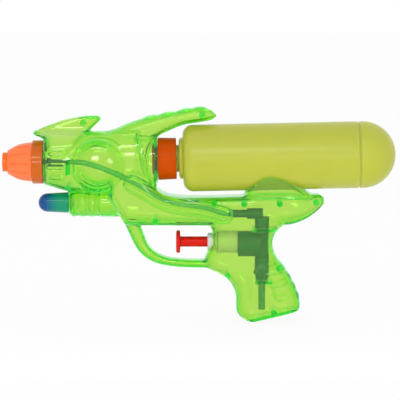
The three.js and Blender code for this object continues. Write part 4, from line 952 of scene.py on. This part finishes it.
class PISTOL_OT_lamp(bpy.types.Operator):
    """Blue lamp-shaped cap on the ribbed tube"""
    bl_idname = "pistol.lamp"
    bl_label = "Lamp cap"

    def execute(self, context):
        colours = context.scene.pistol_colours
        # Clear moulded cap, dipped in colour that runs from teal at its base to blue at its tip
        material, tree = new_material("dipped_clear_cap")
        place, rough, normal = moulded_surface(tree, 5.0, 0.03, 0.06, 0.12)
        along = add_node(tree, "ShaderNodeSeparateXYZ", {"Vector": place})
        fade = add_node(tree, "ShaderNodeMapRange",
                        {"Value": along.outputs["X"], "From Min": -0.160, "From Max": -0.147},
                        interpolation_type="SMOOTHSTEP")
        shade = add_node(tree, "ShaderNodeMix",
                         {"Factor": fade.outputs["Result"], "A": colours.lamp, "B": colours.lamp_base},
                         data_type="RGBA")
        shader = add_node(tree, "ShaderNodeBsdfPrincipled", {
            "Base Color": shade.outputs["Result"], "Roughness": rough, "Normal": normal, "IOR": 1.5,
            "Specular IOR Level": 0.1, "Coat Weight": 0.2, "Coat Roughness": 0.05,
            "Transmission Weight": 0.3})
        add_node(tree, "ShaderNodeOutputMaterial", {"Surface": shader.outputs["BSDF"]})
        inside, outside = self.nose(LAMP_BORE_R), self.nose(LAMP_R)
        base = TORCH_FACE_X - FIT
        rim = rounded([inside[0], (base, 6.3), (base, 7.6), outside[0]], 0.4)[1:-1]
        profile = [*inside[::-1], *rim, *outside]
        mesh = mesh_of("Lamp", [turned(profile, 96, "x", (0, 0, TORCH_Z))])
        show("blue_lamp_cap", mesh, material, "gun", "lamp_cap")
        return {"FINISHED"}

    def nose(self, r):
        """The round tip, from its widest place on."""
        start = TORCH_FACE_X - FIT - LAMP_LENGTH + LAMP_R
        return [(start - r * math.sin(a), r * math.cos(a)) for a in np.linspace(0, math.pi / 2, 20)]


class PISTOL_OT_bottle(bpy.types.Operator):
    """Blown bottle with its screw neck, and the socket that it screws into"""
    bl_idname = "pistol.bottle"
    bl_label = "Bottle and socket"

    def execute(self, context):
        colours = context.scene.pistol_colours
        # Moulded amber polypropylene: a little cloudy, with a soft gloss
        amber = cloudy_plastic("amber_polypropylene", colours.socket, linear("#b44200"), 0.32, 1.0,
                               gloss=0.05)
        socket = hollow([(-3.9, 6), (-3.9, 11), (-2.3, 11), (-2.3, 8.5), (0.3, 8.5), (0.3, 15.4),
                         (13.5, 15.0), (13.5, 11.2), (2.3, 11.2), (2.3, 6)], 0.5, 96, matrix=BOTTLE_PLACE)
        show("amber_socket", socket, amber, "gun", "bottle_socket")
        # Blown polyethylene: cloudy yellow with a satin skin
        milky = cloudy_plastic("blown_yellow_polyethylene", colours.bottle, linear("#bac13d"), 0.3, 6.0,
                               0.1, 0.35, grain_mm=40.0, under=0.8)
        neck = rounded([(BOTTLE_NECK_X, BOTTLE_BORE_R), (4.7, BOTTLE_BORE_R), (4.7, BOTTLE_NECK_R),
                        (BOTTLE_NECK_X, BOTTLE_NECK_R)], 0.5)
        profile = self.outline(BOTTLE_WALL)[::-1] + neck + self.outline(0)
        mesh = mesh_of("Bottle", [turned(profile, 128)], BOTTLE_PLACE)
        mesh = combined(mesh, "UNION", self.thread())
        show("yellow_bottle", mesh, milky, "bottle_body", "bottle")
        return {"FINISHED"}

    def outline(self, inset):
        """The step, shoulder, groove and round end of the bottle; with an inset, of its inside."""
        step = [(BOTTLE_NECK_X + inset, 13.4 - inset), (16.5 + inset, 15 - inset),
                (BOTTLE_SHOULDER_X + inset, 15 - inset)]
        shoulder = [(BOTTLE_SHOULDER_X + BOTTLE_SHOULDER_R * (1 - math.cos(a)) + inset * math.cos(a),
                     BOTTLE_R - BOTTLE_SHOULDER_R * (1 - math.sin(a)) - inset * math.sin(a))
                    for a in np.linspace(0, math.pi / 2, 16)]
        line = np.linspace(BOTTLE_GROOVE_X - 1.5, BOTTLE_GROOVE_X + 1.5, 13)
        groove = [(x, BOTTLE_R - 0.7 * math.cos(math.pi * (x - BOTTLE_GROOVE_X) / 3) ** 2) for x in line]
        end_r = BOTTLE_R - inset
        end = [(BOTTLE_END_X + end_r * math.sin(a), end_r * math.cos(a))
               for a in np.linspace(0, math.pi / 2, 28)]
        start = (BOTTLE_NECK_X, BOTTLE_BORE_R if inset else BOTTLE_NECK_R)
        steps = rounded([start, *step, shoulder[0]], 0.6)[1:-1]
        return steps + shoulder + ([] if inset else groove) + end

    def thread(self):
        """A screw thread around the neck."""
        turns, pitch, r = 2.0, 3.0, 9.7
        angle = np.linspace(0, 2 * math.pi * turns, 97)
        taper = np.clip(np.minimum(angle, angle[-1] - angle) / 0.6, 0.05, 1)
        around = 2 * math.pi * np.arange(10) / 10
        along = 6.4 + pitch * angle / (2 * math.pi)
        radial = r + 0.75 * taper[:, None] * np.sin(around)
        rings = np.stack([along[:, None] + 0.7 * taper[:, None] * np.cos(around),
                          radial * np.sin(angle)[:, None], radial * np.cos(angle)[:, None]], axis=-1)
        return mesh_of("Thread", [rings], BOTTLE_PLACE)


class PISTOL_OT_trigger(bpy.types.Operator):
    """Red trigger button on its rod"""
    bl_idname = "pistol.trigger"
    bl_label = "Trigger"

    def execute(self, context):
        colours = context.scene.pistol_colours
        # Moulded red polystyrene: smooth, with a clear gloss
        red = cloudy_plastic("red_styrene", colours.trigger, linear("#cc1a10"), 0.22, 0.6, gloss=0.12)
        edge = [(-62.8, 5.5), (-62.6, 8.3), (-59.8, 8.3), (-59.6, 3.8), (-38.3, 3.8), (-38.3, 2.05),
                (-44.6, 2.05)]
        profile = [(-62.8, 0), *rounded(edge, 0.9), (-44.6, 0)]
        mesh = mesh_of("Trigger", [turned(profile, 72)])
        show("red_trigger", mesh, red, "plunger_unit", "trigger")
        return {"FINISHED"}


class PISTOL_OT_pump(bpy.types.Operator):
    """Pump barrel, valve block, elbow, inlet and dip tube"""
    bl_idname = "pistol.pump"
    bl_label = "Pump"

    def execute(self, context):
        colours = context.scene.pistol_colours
        # Natural polyethylene barrel: milky white
        natural = cloudy_plastic("natural_polyethylene", colours.barrel, linear("#e4e7da"), 0.3, 1.5, 0.35)
        barrel = hollow([(-39.8, 4.1), (-39.8, 6.4), (-32.4, 6.4), (-32.4, 8.1), (-17.8, 8.1), (-17.8, 6.6),
                         (-11.5, 6.6), (-11.5, 5.3), (-30.8, 5.3), (-30.8, 4.1)], 0.35, 72)
        show("white_barrel", barrel, natural, "gun", "pump_barrel")
        # Green polypropylene of the valves: satin. Their dark green is partly their own colour and partly
        # painted shade, standing for the green light of the clear shell around them, which casts no shadow
        green = cloudy_plastic("green_polypropylene", colours.pump, linear("#1b6a46"), 0.4, 0.0)
        self.show_block(green)
        self.show_elbow(green)
        self.show_inlet(green)
        # Extruded vinyl tube: cloudy green with a soft gloss
        vinyl = cloudy_plastic("tube_vinyl", linear("#559f6a"), linear("#4a925f"), 0.35, 0.5)
        tube = pipe(2.5, 1.7, -50.2, -26.4, "z", segments=48, corner=0.25)
        show("suction_tube", tube, vinyl, "gun", "dip_tube")
        return {"FINISHED"}

    def show_block(self, green):
        """Drum behind the barrel with a turret across it, bored for barrel, water and both valves."""
        block = combined(rod(9.3, -17.5, -1, "x", (0, 0, -1.5), 72), "UNION",
                         rod(TURRET_R, -10.8, 7.8, "z", segments=64))
        block = combined(block, "DIFFERENCE", rod(6.9, -20, -11.2, "x", segments=64),
                         rod(4.85, -18, -10.2, "x"), rod(3.3, -18, 1, "x"), rod(3.0, -12, 9, "z"),
                         rod(4.5, 5.1, 9, "z"), rod(4.5, -12, -8.1, "z"))
        show("valve_drum", block, green, "gun", "valve_block")

    def show_elbow(self, green):
        """Upright outlet with an arm for the hose."""
        level = (0, 0, ELBOW_Z)
        outside = [(5.7, 0), (5.7, 4.2), (8.1, 4.2), (8.1, 5.2), (18.1, 5.2), (18.1, 0)]
        upright = mesh_of("Upright", [turned(outside, 64, "z")])
        elbow = combined(upright, "UNION", rod(4.1, -10.9, 0.6, "x", level, 56),
                         rod(2.9, -22.5, -9.9, "x", level))
        inside = [(4.7, 0), (4.7, 1.5), (7.3, 1.5), (8.3, 2.5), (16.5, 2.5), (16.5, 0)]
        bore = mesh_of("Bore", [turned(inside, 48, "z")])
        elbow = combined(elbow, "DIFFERENCE", bore, rod(1.3, -24, -1, "x", level),
                         rod(1.3, 15.5, ELBOW_Z, "z", (-1, 0, 0)), rod(2.3, -24, -14.2, "x", level))
        show("outlet_bend", elbow, green, "gun", "outlet_elbow")

    def show_inlet(self, green):
        """Tapering inlet with a seat for its ball."""
        inlet = hollow([(-8.7, 3.0), (-8.7, 4.2), (-11.1, 4.2), (-11.1, 5.2), (-23.1, 5.2), (-31.1, 3.6),
                        (-31.1, 2.8), (-26.1, 2.8), (-26.1, 1.5), (-22.1, 1.5), (-21.1, 3.0)], 0.25, 64, "z")
        show("inlet_chamber", inlet, green, "gun", "inlet_body")


class PISTOL_OT_waterway(bpy.types.Operator):
    """Hose and jet stem"""
    bl_idname = "pistol.waterway"
    bl_label = "Waterway"

    def execute(self, context):
        colours = context.scene.pistol_colours
        # Soft vinyl hose: cloudy green
        vinyl = cloudy_plastic("green_vinyl", colours.hose, linear("#54b67c"), 0.35, 0.5)
        line = spline(HOSE_LINE, 140)
        outer, bore = sweep(line, 2.0, 2.0, 28), sweep(line, 1.3, 1.3, 28)
        hose = mesh_of("Hose", [np.concatenate([outer, bore[::-1]])], loop=True)
        show("hose_run", hose, vinyl, "gun", "hose")
        green = bpy.data.materials["green_polypropylene"]
        stem = hollow([(-186.95, 0.5), (-186.95, 3.1), (-183.25, 3.1), (-183.25, 1.9), (-155.2, 1.9),
                       (-155.2, 3.7), (-153.6, 3.7), (-153.6, 1.9), (-141.6, 1.9), (-141.6, 0.9),
                       (-135.6, 0.9), (-135.6, 0.5)], 0.2, 48, "x", (0, 0, NOZZLE_Z))
        show("jet_tube", stem, green, "gun", "jet_stem")
        return {"FINISHED"}


class PISTOL_OT_small_pieces(bpy.types.Operator):
    """Springs, valve balls, washers and seals"""
    bl_idname = "pistol.small_pieces"
    bl_label = "Springs and seals"

    def execute(self, context):
        # Drawn spring steel: bright, with fine lines along the wire
        steel, tree = new_material("spring_steel")
        rough, normal = moulded_surface(tree, 0.8, 0.01, 0.22, 0.38)[1:]
        shader = add_node(tree, "ShaderNodeBsdfPrincipled", {
            "Base Color": linear("#c4c6c8"), "Metallic": 1.0, "Roughness": rough, "Normal": normal})
        add_node(tree, "ShaderNodeOutputMaterial", {"Surface": shader.outputs["BSDF"]})
        # Moulded black rubber: matt
        rubber = cloudy_plastic("black_rubber", linear("#26282a"), linear("#1c1d1f"), 0.75, 0.0, grain_mm=1.5)
        natural = bpy.data.materials["natural_polyethylene"]
        coil = self.coil(-26.25, -10.85, 4.2, 0.35, 4, "x")
        spring = show("coil_return", coil, steel, "gun", "return_spring")
        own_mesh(spring)
        coil = self.coil(12.58, 16.1, 1.6, 0.25, 3, "z")
        spring = show("coil_outlet", coil, steel, "gun", "outlet_spring")
        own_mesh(spring)
        finishes = {"stem_washer": rubber, "piston_seal": rubber, "bottle_gasket": rubber,
                    "outlet_ball": steel, "inlet_ball": steel, "plunger": natural, "barrel_washer": natural}
        for name, material in finishes.items():
            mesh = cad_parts[name].data
            mesh.materials.clear()
            mesh.materials.append(material)
        return {"FINISHED"}

    def coil(self, low, high, r, wire, turns, axis):
        """A coil spring as one wire."""
        angle = np.linspace(0, 2 * math.pi * turns, 48 * turns + 1)
        around = 2 * math.pi * np.arange(12) / 12
        along = (low + (high - low) * angle / angle[-1])[:, None] + wire * np.cos(around)
        radius = r + wire * np.sin(around)[None, :]
        one, two = radius * np.cos(angle)[:, None], radius * np.sin(angle)[:, None]
        order = {"x": (along, one, two), "z": (one, two, along)}[axis]
        return mesh_of("Coil", [np.stack(order, axis=-1)])


class PISTOL_PT_sidebar(bpy.types.Panel):
    """Lists the pieces and their settings"""
    bl_idname = "PISTOL_PT_sidebar"
    bl_label = "Water Pistol"
    bl_space_type = "VIEW_3D"
    bl_region_type = "UI"
    bl_category = "Pistol"

    def draw(self, context):
        for settings in (context.scene.pistol_sizes, context.scene.pistol_colours):
            for key in settings.bl_rna.properties.keys():
                if key not in {"rna_type", "name"}:
                    self.layout.prop(settings, key)
        for operator in OPERATORS:
            self.layout.operator(operator.bl_idname)


OPERATORS = (PISTOL_OT_stage, PISTOL_OT_shells, PISTOL_OT_nozzle, PISTOL_OT_lamp, PISTOL_OT_bottle,
             PISTOL_OT_trigger, PISTOL_OT_pump, PISTOL_OT_waterway, PISTOL_OT_small_pieces)
CLASSES = (PistolColours, PistolSizes, *OPERATORS, PISTOL_PT_sidebar)


def register():
    for cls in CLASSES:
        bpy.utils.register_class(cls)
    bpy.types.Scene.pistol_colours = PointerProperty(type=PistolColours)
    bpy.types.Scene.pistol_sizes = PointerProperty(type=PistolSizes)


def unregister():
    del bpy.types.Scene.pistol_sizes
    del bpy.types.Scene.pistol_colours
    for cls in reversed(CLASSES):
        bpy.utils.unregister_class(cls)


def main():
    register()
    bpy.ops.pistol.stage()
    bpy.ops.pistol.shells()
    bpy.ops.pistol.nozzle()
    bpy.ops.pistol.lamp()
    bpy.ops.pistol.bottle()
    bpy.ops.pistol.trigger()
    bpy.ops.pistol.pump()
    bpy.ops.pistol.waterway()
    bpy.ops.pistol.small_pieces()


if __name__ == "__main__":
    main()
